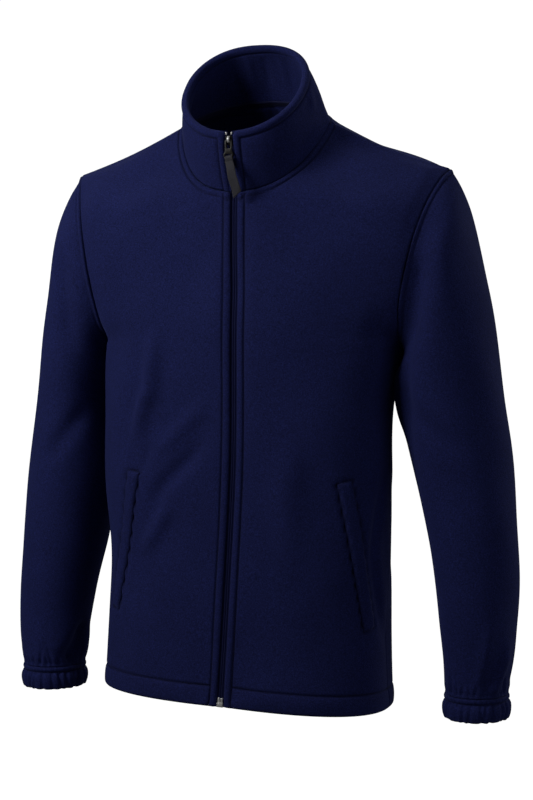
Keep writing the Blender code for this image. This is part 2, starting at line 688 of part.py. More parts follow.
def tab_shape():
    """The pull tab: a flat plate with a window for the bridge and a slot for the ribbon."""
    foot = BAR_HALF - TAB_LENGTH
    slot_foot = foot + TAB_FOOT_BAR
    rows = ((BAR_HALF, TAB_HALF_WIDTH), (-BAR_HALF, TAB_HALF_WIDTH),
            (-TAB_WINDOW_FOOT, TAB_HALF_WIDTH), (-TAB_EYE_TOP, TAB_EYE_HALF_WIDTH),
            (slot_foot + TAB_SLOT_HEIGHT, TAB_EYE_HALF_WIDTH),
            (slot_foot, TAB_EYE_HALF_WIDTH), (foot, TAB_HALF_WIDTH))
    openings = (1, 4)
    columns = 3
    shape = bmesh.new()
    made = bmesh.ops.create_grid(shape, x_segments=columns, y_segments=len(rows) - 1, size=1.0)
    holes = []
    for face in shape.faces:
        middle = face.calc_center_median()
        row = int((middle.y + 1.0) / 2.0 * (len(rows) - 1))
        if abs(middle.x) < 1.0 / columns and row in openings:
            holes.append(face)
    for vert in made["verts"]:
        column = round((vert.co.x + 1.0) / 2.0 * columns)
        height, half_width = rows[round((vert.co.y + 1.0) / 2.0 * (len(rows) - 1))]
        inner = half_width - ARM_WIDTH
        across = (-half_width, -inner, inner, half_width)[column]
        vert.co = (across, -TAB_THICKNESS / 2.0, height)
    bmesh.ops.delete(shape, geom=holes, context="FACES")
    made = bmesh.ops.extrude_face_region(shape, geom=shape.faces[:], use_keep_orig=True)
    moved = [item for item in made["geom"] if isinstance(item, bmesh.types.BMVert)]
    bmesh.ops.translate(shape, verts=moved, vec=(0.0, TAB_THICKNESS, 0.0))
    bmesh.ops.recalc_face_normals(shape, faces=shape.faces)
    return shape


def ribbon_shape():
    """The woven ribbon on the tab: a flat strip that hangs in a slight curve."""
    places = np.linspace(0.0, 1.0, RIBBON_ROWS)
    bends = smooth_line(RIBBON_BENDS, places)
    top = BAR_HALF - TAB_LENGTH - SEAM_GAP
    lower = np.zeros((len(places), 2, 3))
    upper = np.zeros((len(places), 2, 3))
    for row, (side, forward) in enumerate(bends):
        for column, edge in enumerate((-RIBBON_HALF_WIDTH, RIBBON_HALF_WIDTH)):
            place = (side + edge, -forward, top - RIBBON_LENGTH * places[row])
            lower[row, column] = np.add(place, (0.0, RIBBON_THICKNESS / 2.0, 0.0))
            upper[row, column] = np.subtract(place, (0.0, RIBBON_THICKNESS / 2.0, 0.0))
    return wall_between(lower, upper)


def make_slider():
    """The slider at the top of the zip, with its bridge, and the tab and ribbon that hang from it."""
    frame = zip_frame("rim", SLIDER_BELOW_RIM)
    front_low = TAPE_FRONT + SEAM_GAP
    front_high = front_low + PLATE_THICKNESS
    rear_high = TAPE_FRONT - TAPE_THICKNESS - SEAM_GAP
    rear_low = rear_high - PLATE_THICKNESS
    low, high = -PLATE_HALF_LENGTH, PLATE_HALF_LENGTH
    neck = (NECK_HALF_WIDTH, high - NECK_INSET - NECK_LENGTH, high - NECK_INSET)
    plate = (PLATE_HALF_WIDTH, low, high)
    rear = (REAR_HALF_WIDTH, low, high)
    sections = [rectangle(*rear, rear_low), rectangle(*rear, rear_high),
                rectangle(*neck, rear_high), rectangle(*neck, front_low),
                rectangle(*plate, front_low), rectangle(*plate, front_high)]
    add_piece("zip_slider", stack(sections, frame), finish_material("zip_slider", BLACK_METAL, 0.35, 1.0))
    add_piece("slider_bridge", arch(frame, front_high),
              finish_material("slider_bridge", BLACK_METAL, 0.35, 1.0))
    pivot = bpy.data.objects.new("pull_axis", None)
    pivot.location = frame @ Vector((0.0, 0.0, front_high + HINGE_STAND_OFF))
    bpy.context.scene.collection.objects.link(pivot)
    add_piece("pull_tab", tab_shape(), finish_material("pull_tab", BLACK_METAL, 0.4, 1.0), pivot)
    add_piece("pull_ribbon", ribbon_shape(), finish_material("pull_ribbon", RIBBON_GREY, 0.8), pivot)


def make_stops():
    """The two stops above the slider and the box at the foot of the zip."""
    low = TAPE_FRONT + SEAM_GAP
    for name, side in SIDES.items():
        frame = zip_frame("rim", STOP_LENGTH) @ Matrix.Translation((side * STOP_OFFSET, 0.0, 0.0))
        half = STOP_WIDTH / 2.0
        sections = [rectangle(half, -STOP_LENGTH / 2.0, STOP_LENGTH / 2.0, low + rise)
                    for rise in (0.0, STOP_THICKNESS)]
        add_piece("top_stop_" + name, stack(sections, frame),
                  finish_material("top_stop_" + name, SILVER, 0.3, 1.0))
    frame = zip_frame("hem", BOX_LENGTH / 2.0)
    half = BOX_LENGTH / 2.0
    sections = [rectangle(BOX_HALF_WIDTH, -half, half, low + rise)
                for rise in (0.0, BOX_THICKNESS)]
    add_piece("zip_box", stack(sections, frame), finish_material("zip_box", SILVER, 0.3, 1.0))


def main():
    """Build the whole jacket."""
    clear_scene()
    skin = lay_out_skin()
    make_panels(skin)
    make_hem(skin)
    make_collar_inside(skin)
    skin.free()
    rings = {"left": SLEEVE_LEFT, "right": SLEEVE_RIGHT}
    for name, side in SIDES.items():
        make_cuff(name, side, rings[name][-1], armhole_loop(side, ROW_LEVELS))
        make_welt(name, side, WELTS[name])
        make_zip_tape(name, side)
    make_slider()
    make_stops()


main()
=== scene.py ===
"""Fleece zip jacket: its cloth, seams, zip and trims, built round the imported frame.

Metres, +Z up, front towards -Y, the wearer's left towards +X.  Levels run up each body panel: 0 at
the hem, 1 at the armpit, 2 where the neckline leaves the middle of the panel, 3 at the shoulder seam.
"""
import logging
import math
from dataclasses import dataclass, field
from enum import Enum
from typing import NamedTuple, Sequence

import bmesh
import bpy
import numpy as np
from mathutils import Matrix, Vector
from mathutils.bvhtree import BVHTree


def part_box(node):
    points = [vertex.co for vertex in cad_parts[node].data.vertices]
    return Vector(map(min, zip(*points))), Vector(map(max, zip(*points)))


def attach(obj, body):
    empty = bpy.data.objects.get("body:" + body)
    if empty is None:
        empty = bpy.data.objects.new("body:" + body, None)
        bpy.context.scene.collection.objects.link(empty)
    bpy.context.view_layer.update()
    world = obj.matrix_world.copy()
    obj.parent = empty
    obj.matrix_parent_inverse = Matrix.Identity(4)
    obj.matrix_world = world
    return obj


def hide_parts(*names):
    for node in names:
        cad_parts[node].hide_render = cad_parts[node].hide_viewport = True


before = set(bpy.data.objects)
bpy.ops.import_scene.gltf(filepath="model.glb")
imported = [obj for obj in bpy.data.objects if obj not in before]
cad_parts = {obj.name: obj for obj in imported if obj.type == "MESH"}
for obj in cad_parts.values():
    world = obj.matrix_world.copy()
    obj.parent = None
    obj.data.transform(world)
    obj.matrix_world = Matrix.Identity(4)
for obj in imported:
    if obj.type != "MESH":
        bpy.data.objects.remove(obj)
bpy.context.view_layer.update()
LOG = logging.getLogger("jacket")
Grid = np.ndarray
Item = bpy.types.Object
Shape = bmesh.types.BMesh
Socket = bpy.types.NodeSocket
Colour = tuple[float, float, float]
Point = tuple[float, float]


class Side(Enum):
    """The wearer's two sides."""

    LEFT = 1.0
    RIGHT = -1.0

    @property
    def label(self) -> str:
        """The side's name as piece names spell it."""
        return self.name.lower()


class Body(Enum):
    """The bodies of the frame that pieces ride on."""

    JACKET = "jacket"
    PULL = "pull"


class Slot(Enum):
    """The finishes that the record names."""

    FLEECE = "fleece"
    WOVEN = "woven_tape"
    ZIP_TAPE = "zip_tape"
    RIBBON = "ribbon"
    BLACK = "black_metal"
    SILVER = "silver_metal"


class Station(NamedTuple):
    """A point on one of the body's lines."""

    level: float
    x: float
    y: float
    z: float


class SideStation(NamedTuple):
    """A point on both side seams, which differ in their width and height."""

    level: float
    left_x: float
    right_x: float
    y: float
    left_z: float
    right_z: float


class Turn(NamedTuple):
    """How far a row of a panel turns round the body, in degrees."""

    level: float
    front: float
    back: float


class Ring(NamedTuple):
    """One tilted oval section of a sleeve."""

    along: float
    x: float
    y: float
    z: float
    half_width: float
    half_depth: float
    tilt: float


ZIP_LINE = (
    Station(0.00, -0.0050, -0.1240, -0.6895),
    Station(0.28, 0.0005, -0.1180, -0.565),
    Station(0.68, 0.0080, -0.1145, -0.396),
    Station(1.00, 0.0075, -0.1110, -0.262),
    Station(1.33, 0.0065, -0.1050, -0.205),
    Station(1.67, 0.0030, -0.0970, -0.148),
    Station(2.00, 0.0000, -0.0880, -0.092),
)
SPINE_LINE = (
    Station(0.00, -0.0080, 0.0900, -0.690),
    Station(0.30, -0.0090, 0.0840, -0.565),
    Station(0.62, -0.0090, 0.0800, -0.430),
    Station(1.00, -0.0060, 0.0940, -0.262),
    Station(1.33, -0.0030, 0.1020, -0.170),
    Station(1.67, 0.0000, 0.0880, -0.070),
    Station(2.00, 0.0000, 0.0480, 0.020),
)
SIDE_LINE = (
    SideStation(0.00, 0.169, -0.186, -0.022, -0.6990, -0.685),
    SideStation(0.22, 0.165, -0.179, -0.022, -0.600, -0.598),
    SideStation(0.36, 0.168, -0.179, -0.021, -0.540, -0.540),
    SideStation(0.62, 0.168, -0.186, -0.020, -0.426, -0.426),
    SideStation(0.86, 0.171, -0.188, -0.014, -0.325, -0.325),
    SideStation(1.00, 0.184, -0.186, -0.008, -0.268, -0.268),
)
ARMHOLE_FRONT = (
    Station(1.00, 0.1850, -0.0080, -0.268),
    Station(1.25, 0.1865, -0.0440, -0.250),
    Station(1.50, 0.1900, -0.0600, -0.222),
    Station(1.75, 0.1970, -0.0650, -0.186),
    Station(2.00, 0.2050, -0.0610, -0.150),
    Station(2.25, 0.2130, -0.0510, -0.120),
    Station(2.50, 0.2210, -0.0360, -0.095),
    Station(2.75, 0.2290, -0.0180, -0.075),
    Station(3.00, 0.2350, 0.0000, -0.064),
)
ARMHOLE_BACK = (
    Station(1.00, 0.1850, -0.0080, -0.268),
    Station(1.25, 0.1880, 0.0360, -0.244),
    Station(1.50, 0.1970, 0.0600, -0.196),
    Station(1.75, 0.2110, 0.0600, -0.140),
    Station(2.00, 0.2240, 0.0420, -0.096),
    Station(2.33, 0.2295, 0.0280, -0.080),
    Station(2.67, 0.2330, 0.0140, -0.070),
    Station(3.00, 0.2350, 0.0000, -0.064),
)
NECK_FRONT = (
    Station(2.00, 0.0000, -0.0880, -0.092),
    Station(2.30, 0.0400, -0.0780, -0.082),
    Station(2.60, 0.0700, -0.0530, -0.057),
    Station(2.80, 0.0845, -0.0330, -0.032),
    Station(3.00, 0.0920, -0.0120, -0.008),
)
NECK_BACK = (
    Station(2.00, 0.0000, 0.0480, 0.020),
    Station(2.30, 0.0360, 0.0430, 0.017),
    Station(2.60, 0.0660, 0.0260, 0.009),
    Station(2.80, 0.0830, 0.0080, 0.000),
    Station(3.00, 0.0920, -0.0120, -0.008),
)
TURNS = (
    Turn(0.00, 90.0, 90.0),
    Turn(1.00, 90.0, 90.0),
    Turn(1.25, 78.0, 74.0),
    Turn(1.50, 67.0, 62.0),
    Turn(2.00, 58.0, 52.0),
    Turn(3.00, 36.0, 36.0),
)
SLEEVES = {
    Side.LEFT: (
        Ring(0.16, 0.2225, 0.001, -0.202, 0.0930, 0.0690, 68.0),
        Ring(0.30, 0.2265, 0.003, -0.259, 0.0745, 0.0710, 48.0),
        Ring(0.44, 0.2360, 0.004, -0.325, 0.0612, 0.0690, 18.0),
        Ring(0.58, 0.2530, 0.000, -0.413, 0.0575, 0.0640, 5.0),
        Ring(0.76, 0.2715, -0.010, -0.518, 0.0485, 0.0550, 0.0),
        Ring(0.87, 0.2775, -0.016, -0.584, 0.0430, 0.0490, 0.0),
        Ring(0.94, 0.2795, -0.018, -0.631, 0.0400, 0.0445, 0.0),
        Ring(1.00, 0.2760, -0.020, -0.672, 0.0360, 0.0405, 0.0),
    ),
    Side.RIGHT: (
        Ring(0.16, 0.2230, 0.001, -0.204, 0.0870, 0.0690, 68.0),
        Ring(0.30, 0.2325, 0.003, -0.261, 0.0615, 0.0690, 48.0),
        Ring(0.44, 0.2420, 0.004, -0.330, 0.0470, 0.0670, 18.0),
        Ring(0.58, 0.2468, 0.000, -0.413, 0.0518, 0.0620, 5.0),
        Ring(0.76, 0.2565, -0.010, -0.518, 0.0502, 0.0560, 0.0),
        Ring(0.87, 0.2662, -0.016, -0.584, 0.0446, 0.0495, 0.0),
        Ring(0.94, 0.2690, -0.018, -0.631, 0.0400, 0.0450, 0.0),
        Ring(1.00, 0.2680, -0.020, -0.672, 0.0365, 0.0415, 0.0),
    ),
}


def smooth_line(stations: Sequence[Sequence[float]], places: Grid) -> Grid:
    """Points on the smooth curve through the stations.

    Args:
        stations: rows whose first column is the place along the curve.
        places: the places to read the curve at.

    Returns:
        One row of the other columns for each place.
    """
    table = np.array(stations, dtype=float)
    knots, values = table[:, 0], table[:, 1:]
    slopes = np.gradient(values, knots, axis=0)
    low = np.clip(np.searchsorted(knots, places, side="right") - 1, 0, len(knots) - 2)
    span = (knots[low + 1] - knots[low])[:, None]
    part = (np.asarray(places)[:, None] - knots[low][:, None]) / span
    rise = part * part * (3.0 - 2.0 * part)
    leave = part * (1.0 - part) ** 2
    arrive = part * part * (part - 1.0)
    return (values[low] * (1.0 - rise) + values[low + 1] * rise
            + (slopes[low] * leave + slopes[low + 1] * arrive) * span)


def even_shares(count: int) -> Grid:
    """Even shares from 0 to 1."""
    return np.linspace(0.0, 1.0, count)


def run_along(line: Grid) -> Grid:
    """The length of a line of points up to each of them."""
    return np.concatenate([[0.0], np.cumsum(np.linalg.norm(np.diff(line, axis=0), axis=1))])


def arc_shares(line: Grid) -> Grid:
    """How far along a line of points each one lies, from 0 to 1."""
    run = run_along(line)
    return run / run[-1]


def respace(line: Grid, places: Grid) -> Grid:
    """The points of a line at given lengths along it."""
    run = run_along(line)
    return np.stack([np.interp(places, run, line[:, axis]) for axis in range(line.shape[1])], axis=-1)


def edge_steps(length: float, near: Grid, far: Grid, inner: int) -> Grid:
    """Lengths along a line: close together near its two ends and even between them.

    Args:
        length: the length of the whole line.
        near: the close lengths from the start.
        far: the close lengths from the end.
        inner: how many steps lie between the two close stretches.

    Returns:
        The lengths in rising order, from 0 to the whole length.
    """
    middle = np.linspace(near[-1], length - far[-1], inner + 1)[1:-1]
    return np.concatenate([near, middle, length - far[::-1]])


def distance_to(points: Grid, line: Grid) -> tuple[Grid, Grid]:
    """The distance from each point of a grid to a line, and how far along the line it is.

    Args:
        points: a grid of points.
        line: the points of an open line.

    Returns:
        The distances, and the shares of the line's length, from 0 to 1.
    """
    flat = points.reshape(-1, 3)
    best = np.full(len(flat), np.inf)
    share = np.zeros(len(flat))
    run = arc_shares(line)
    for number in range(len(line) - 1):
        step = line[number + 1] - line[number]
        part = np.clip((flat - line[number]) @ step / max(step @ step, 1e-12), 0.0, 1.0)
        gap = np.linalg.norm(flat - line[number] - part[:, None] * step, axis=1)
        nearer = gap < best
        best[nearer] = gap[nearer]
        share[nearer] = (run[number] + (run[number + 1] - run[number]) * part)[nearer]
    return best.reshape(points.shape[:2]), share.reshape(points.shape[:2])


def round_corner(points: Grid, from_side: Grid, from_end: Grid, steps: tuple[Grid, Grid],
                 radius: float) -> Grid:
    """Move the points near a square corner of a piece so that the corner is round.

    Args:
        points: the piece's grid.
        from_side: each point's distance from the edge at the piece's side.
        from_end: each point's distance from the edge at its end.
        steps: unit steps away from the side and away from the end.
        radius: the radius of the corner.

    Returns:
        The grid with its corner rounded.
    """
    beside = np.clip(1.0 - from_side / radius, 0.0, 1.0)
    late = np.clip(1.0 - from_end / radius, 0.0, 1.0)
    inward = radius * beside * (1.0 - np.sqrt(1.0 - late ** 2 / 2.0))
    back = radius * late * (1.0 - np.sqrt(1.0 - beside ** 2 / 2.0))
    return points + steps[0] * inward[:, :, None] + steps[1] * back[:, :, None]


def unit_steps(points: Grid, axis: int) -> Grid:
    """Unit steps along the rows (0) or the columns (1) of a grid of points."""
    steps = np.gradient(points, axis=axis)
    return steps / np.maximum(np.linalg.norm(steps, axis=2), 1e-9)[:, :, None]


def bell(distance: Grid, width: float) -> Grid:
    """A smooth bump that is 1 at no distance and all but gone at twice the width."""
    return np.exp(-(distance / width) ** 2)


def ease(value: Grid) -> Grid:
    """A smooth rise from 0 to 1, flat outside that stretch."""
    part = np.clip(value, 0.0, 1.0)
    return part * part * (3.0 - 2.0 * part)


def arch(value: Grid) -> Grid:
    """A smooth rise and fall: nothing at 0 and at 1, and full midway."""
    return np.sin(np.pi * np.clip(value, 0.0, 1.0))


def gap_to(points: Grid, line: Grid) -> Grid:
    """The distance from each point of a grid to a line."""
    return distance_to(points, line)[0]


def nearest(values: Grid, wanted: float) -> int:
    """The number of the value that lies nearest to a wanted one."""
    return int(np.argmin(np.abs(values - wanted)))


def unit(vectors: Grid) -> Grid:
    """The same directions, each one long."""
    return vectors / np.linalg.norm(vectors, axis=-1, keepdims=True)


@dataclass(frozen=True)
class JacketForm:
    """The jacket's shape as a surface with no thickness, in its own sizes.

    Attributes:
        fullness: how square the body is in plan; 2 is an ellipse.
        shoulder_dip: how far the shoulders sag between neck and armhole.
        half_slot: half the gap between the two folded edges of the zip.
        rim_half_width: half the width of the collar's rim.
        rim_half_depth: half its depth from front to back.
        rim_back_power: how square its back half is; 1 is an ellipse.
        rim_centre: the middle of the rim.
        rim_slope: how steeply the rim rises to the back.
        collar_swell: how far the collar bulges between its foot and its rim.
    """

    fullness: float = 2.4
    shoulder_dip: float = 0.005
    half_slot: float = 0.0045
    rim_half_width: float = 0.0725
    rim_half_depth: float = 0.0515
    rim_back_power: float = 0.86
    rim_centre: tuple[float, float, float] = (-0.0005, -0.055, 0.033)
    rim_slope: float = 1.067
    collar_swell: float = 0.0025

    def middle_edge(self, middle: Sequence[Station], neckline: Sequence[Station], side: Side,
                    levels: Grid, half_slot: float) -> Grid:
        """The edge of a half panel at the middle of the body, then along the neckline."""
        below = smooth_line(middle, np.minimum(levels, 2.0))
        above = smooth_line(neckline, np.maximum(levels, 2.0))
        above[:, 0] = side.value * np.maximum(above[:, 0], half_slot)
        below[:, 0] += side.value * half_slot
        return np.where((levels <= 2.0)[:, None], below, above)

    def outer_edge(self, armhole: Sequence[Station], side: Side, levels: Grid) -> Grid:
        """The edge of a half panel down the armhole and the side seam."""
        seam = smooth_line(SIDE_LINE, np.minimum(levels, 1.0))
        below = seam[:, (0, 2, 3) if side is Side.LEFT else (1, 2, 4)]
        above = smooth_line(armhole, np.maximum(levels, 1.0))
        above[:, 0] *= side.value
        below[levels == 1.0] = above[levels == 1.0]
        return np.where((levels <= 1.0)[:, None], below, above)

    def half_panel(self, inner: Grid, outer: Grid, turns: Grid, levels: Grid, shares: Grid) -> Grid:
        """Rows of points that run round the body from an inner edge to an outer edge."""
        power = 2.0 / self.fullness
        full = np.radians(np.minimum(turns, 89.999))[:, None]
        across = (np.sin(shares[None, :] * full) / np.sin(full)) ** power
        back_in = (1.0 - np.cos(shares[None, :] * full) ** power) / (1.0 - np.cos(full) ** power)
        points = inner[:, None, :] + (outer - inner)[:, None, :] * np.stack([across, back_in, across], -1)
        dip = self.shoulder_dip * np.clip(levels - 2.0, 0.0, 1.0)[:, None]
        points[:, :, 2] -= dip * np.sin(np.pi * across)
        return points

    def front(self, side: Side, levels: Grid, shares: Grid) -> Grid:
        """Half of the front of the body, from the zip to the side seam."""
        turns = smooth_line(TURNS, levels)[:, 0]
        inner = self.middle_edge(ZIP_LINE, NECK_FRONT, side, levels, self.half_slot)
        return self.half_panel(inner, self.outer_edge(ARMHOLE_FRONT, side, levels), turns, levels, shares)

    def back_half(self, side: Side, levels: Grid, shares: Grid) -> Grid:
        """Half of the back, from the middle of the back to the side seam."""
        turns = smooth_line(TURNS, levels)[:, 1]
        inner = self.middle_edge(SPINE_LINE, NECK_BACK, side, levels, 0.0)
        return self.half_panel(inner, self.outer_edge(ARMHOLE_BACK, side, levels), turns, levels, shares)

    def armhole_halves(self, side: Side) -> tuple[Grid, Grid]:
        """Fine lines up the front and down the back of an armhole, from armpit to armpit."""
        upper = np.linspace(1.0, 3.0, 241)
        return (self.outer_edge(ARMHOLE_FRONT, side, upper),
                self.outer_edge(ARMHOLE_BACK, side, upper)[::-1])

    def sleeve_ring(self, ring: Ring, side: Side, angles: Grid) -> Grid:
        """One turn of a sleeve: an oval that tilts up at its outer side."""
        tilt = math.radians(ring.tilt)
        reach = ring.half_width * np.cos(angles)
        return np.stack([side.value * (ring.x + reach * math.cos(tilt)),
                         ring.y - ring.half_depth * np.sin(angles),
                         ring.z + reach * math.sin(tilt)], axis=-1)

    def sleeve(self, side: Side, places: Grid, half_columns: int) -> Grid:
        """Rows of points round a sleeve, from its armhole down to the cuff, closed at the armpit."""
        even = even_shares(half_columns + 1)
        front, back = (respace(half, even * run_along(half)[-1]) for half in self.armhole_halves(side))
        loop = np.concatenate([front, back[1:]])
        angles = self.sleeve_angles(half_columns)
        keys = [loop] + [self.sleeve_ring(ring, side, angles) for ring in SLEEVES[side]]
        along = [0.0] + [ring.along for ring in SLEEVES[side]]
        table = np.column_stack([along, np.array(keys).reshape(len(keys), -1)])
        return smooth_line(table, places).reshape(len(places), len(loop), 3)

    @staticmethod
    def sleeve_angles(half_columns: int) -> Grid:
        """The angle of each column of a sleeve: the armpit, up the front, over and down the back."""
        even = even_shares(half_columns + 1)
        return np.concatenate([np.pi * (1.0 - even), -np.pi * even[1:]])

    def neckline(self, side: Side) -> Grid:
        """A fine line round half of the neck seam, from the zip to the middle of the back."""
        upper = np.linspace(2.0, 3.0, 181)
        front = self.middle_edge(ZIP_LINE, NECK_FRONT, side, upper, self.half_slot)
        back = self.middle_edge(SPINE_LINE, NECK_BACK, side, upper, 0.0)
        return np.concatenate([front, back[::-1][1:]])

    def rim(self, side: Side, shares: Grid) -> Grid:
        """Points round half of the collar's rim, which lies in a plane that rises to the back."""
        first = math.asin(self.half_slot / self.rim_half_width)
        angles = first + (np.pi - first) * shares
        lean, centre_y, centre_z = self.rim_centre
        power = np.where(np.cos(angles) < 0.0, self.rim_back_power, 1.0)
        across, ahead = np.abs(np.sin(angles)) ** power, np.abs(np.cos(angles)) ** power
        y = centre_y - self.rim_half_depth * np.copysign(ahead, np.cos(angles))
        return np.stack([side.value * self.rim_half_width * across + lean * np.sin(angles) ** 2,
                         y, centre_z + self.rim_slope * (y - centre_y)], axis=-1)

    def collar_half(self, side: Side, foot: Grid, rise: Grid) -> Grid:
        """Rows of points up half of the collar, from the neck seam to the rim."""
        rim = self.rim(side, arc_shares(foot))
        outward = rim - np.array([0.0, self.rim_centre[1], self.rim_centre[2]])
        outward[:, 2] = 0.0
        outward = unit(outward)
        height = rise[:, None, None]
        return foot * (1.0 - height) + rim * height + outward * self.collar_swell * np.sin(np.pi * height)


FORM = JacketForm()


# ---------------------------------------------------------------- cloth

@dataclass(frozen=True)
class Fold:
    """A soft ridge or trough that lies along a line on a piece of cloth.

    Attributes:
        path: places on the piece, each (along its rows, share round its columns).
        height: how high the ridge stands; below nought it is a trough.
        width: half the width of the ridge.
        rise: the share of its length over which its start rises.
        fall: the share of its length over which its end falls.
    """

    path: tuple[tuple[float, float], ...]
    height: float
    width: float
    rise: float = 0.35
    fall: float = 0.35


@dataclass(frozen=True)
class Topstitch:
    """A sewn line that pinches the cloth at a distance from an edge, with painted shade in its groove.

    Attributes:
        offset: its distance from the edge.
        depth: how deep it pulls the cloth in.
        width: half the width of the groove.
        shadow: how much painted shade darkens the cloth's colour in the groove, from 0 to 1.
    """

    offset: float
    depth: float = 0.0009
    width: float = 0.0012
    shadow: float = 0.65


@dataclass(frozen=True)
class Sway:
    """The slight unevenness of hanging cloth: slow waves through space, the same every time.

    Attributes:
        height: the height of the waves.
        lengths: their wavelengths.
        seed: which waves.
    """

    height: float = 0.0008
    lengths: tuple[float, ...] = (0.21, 0.14, 0.095, 0.063)
    seed: int = 4

    def at(self, points: Grid) -> Grid:
        """The height of the waves at each point of a grid."""
        source = np.random.default_rng(self.seed)
        total = np.zeros(points.shape[:2])
        for length in self.lengths:
            for _ in range(3):
                way = source.normal(size=3) * np.array([1.0, 1.0, 0.55])
                way *= 2.0 * np.pi / length / np.linalg.norm(way)
                total += np.sin(points @ way + source.uniform(0.0, 6.3)) * (length / self.lengths[0]) ** 0.6
        return total * self.height


def outward_normals(points: Grid, wraps: bool, inside: Grid) -> Grid:
    """Unit normals of a grid that point away from a place inside the jacket.

    Args:
        points: the grid.
        wraps: whether its last column is its first one again.
        inside: a point, or one point for each row, on the inner side.

    Returns:
        A grid of unit normals.
    """
    if wraps:
        padded = np.concatenate([points[:, -2:-1], points, points[:, 1:2]], axis=1)
        round_it = (padded[:, 2:] - padded[:, :-2])
    else:
        round_it = np.gradient(points, axis=1)
    up_it = np.gradient(points, axis=0)
    normals = np.cross(round_it, up_it)
    length = np.linalg.norm(normals, axis=2)[:, :, None]
    normals /= np.maximum(length, 1e-12)
    away = points - (inside[:, None, :] if inside.ndim == 2 else inside)
    if float((normals * away).sum()) < 0.0:
        normals = -normals
    return normals


def wall_mesh(name: str, patches: Sequence[tuple[Grid, Grid]], painted_shade: Sequence[Grid] = ()) -> Item:
    """A closed piece between pairs of grids of points, as an object at the origin.

    Args:
        name: the object's name.
        patches: the grids of the inner face and of the outer face, for each patch of the piece.
            Patches are sewn together, and a patch to itself, where their edges meet.
        painted_shade: how much painted shade darkens each point in a seam's groove, from 0 to 1, for each
            patch.

    Returns:
        The new object, smooth shaded, with no material yet.
    """
    wall = bmesh.new()
    place = wall.verts.layers.int.new("place")
    outer = np.concatenate([upper.reshape(-1, 3) for _, upper in patches])
    edges = []
    start = 0
    for lower, _ in patches:
        rows, columns = lower.shape[:2]
        inner = lower.reshape(-1, 3)
        made = bmesh.ops.create_grid(wall, x_segments=columns - 1, y_segments=rows - 1, size=1.0)
        for vert in made["verts"]:
            column = round((vert.co.x + 1.0) / 2.0 * (columns - 1))
            row = round((vert.co.y + 1.0) / 2.0 * (rows - 1))
            vert[place] = start + row * columns + column
            if column in (0, columns - 1):
                edges.append(vert)
        for vert in made["verts"]:
            vert.co = inner[vert[place] - start]
        start += rows * columns
    bmesh.ops.remove_doubles(wall, verts=edges, dist=0.00003)
    made = bmesh.ops.extrude_face_region(wall, geom=wall.faces[:], use_keep_orig=True)
    for vert in moved_verts(made):
        vert.co = outer[vert[place]]
    # painted shade: each point's darkening in seam grooves, stored on the mesh for the fleece's colour to
    # read
    if painted_shade:
        depth = wall.verts.layers.float.new("painted_shade")
        shade_levels = np.concatenate([grid.ravel() for grid in painted_shade])
        for vert in wall.verts:
            vert[depth] = shade_levels[vert[place]]
    bmesh.ops.recalc_face_normals(wall, faces=wall.faces)
    wall.verts.layers.int.remove(place)
    return finished(name, wall)


def moved_verts(made: dict[str, list]) -> list[bmesh.types.BMVert]:
    """The points that an extrusion made."""
    return [item for item in made["geom"] if isinstance(item, bmesh.types.BMVert)]


def finished(name: str, shape: Shape, crease: float = 180.0) -> Item:
    """Turn a finished shape into an object at the origin, sharp only past a crease angle."""
    mesh = bpy.data.meshes.new(name)
    shape.to_mesh(mesh)
    shape.free()
    mesh.shade_smooth()
    if crease < 180.0:
        mesh.set_sharp_from_angle(angle=math.radians(crease))
    item = bpy.data.objects.new(name, mesh)
    bpy.context.scene.collection.objects.link(item)
    return item


class Border(NamedTuple):
    """One edge of a piece: each point's distance to it, and how far from it the cloth turns in."""

    distance: Grid
    roll: float


def borders_along(points: Grid, lines: Sequence[tuple[Grid, float]]) -> list[Border]:
    """The borders of a piece along some lines, each with its own roll."""
    return [Border(gap_to(points, line), roll) for line, roll in lines]


def four_borders(points: Grid, roll: float) -> list[Border]:
    """The borders of a piece along all four of its sides."""
    sides = (points[0], points[-1], points[:, 0], points[:, -1])
    return borders_along(points, [(line, roll) for line in sides])


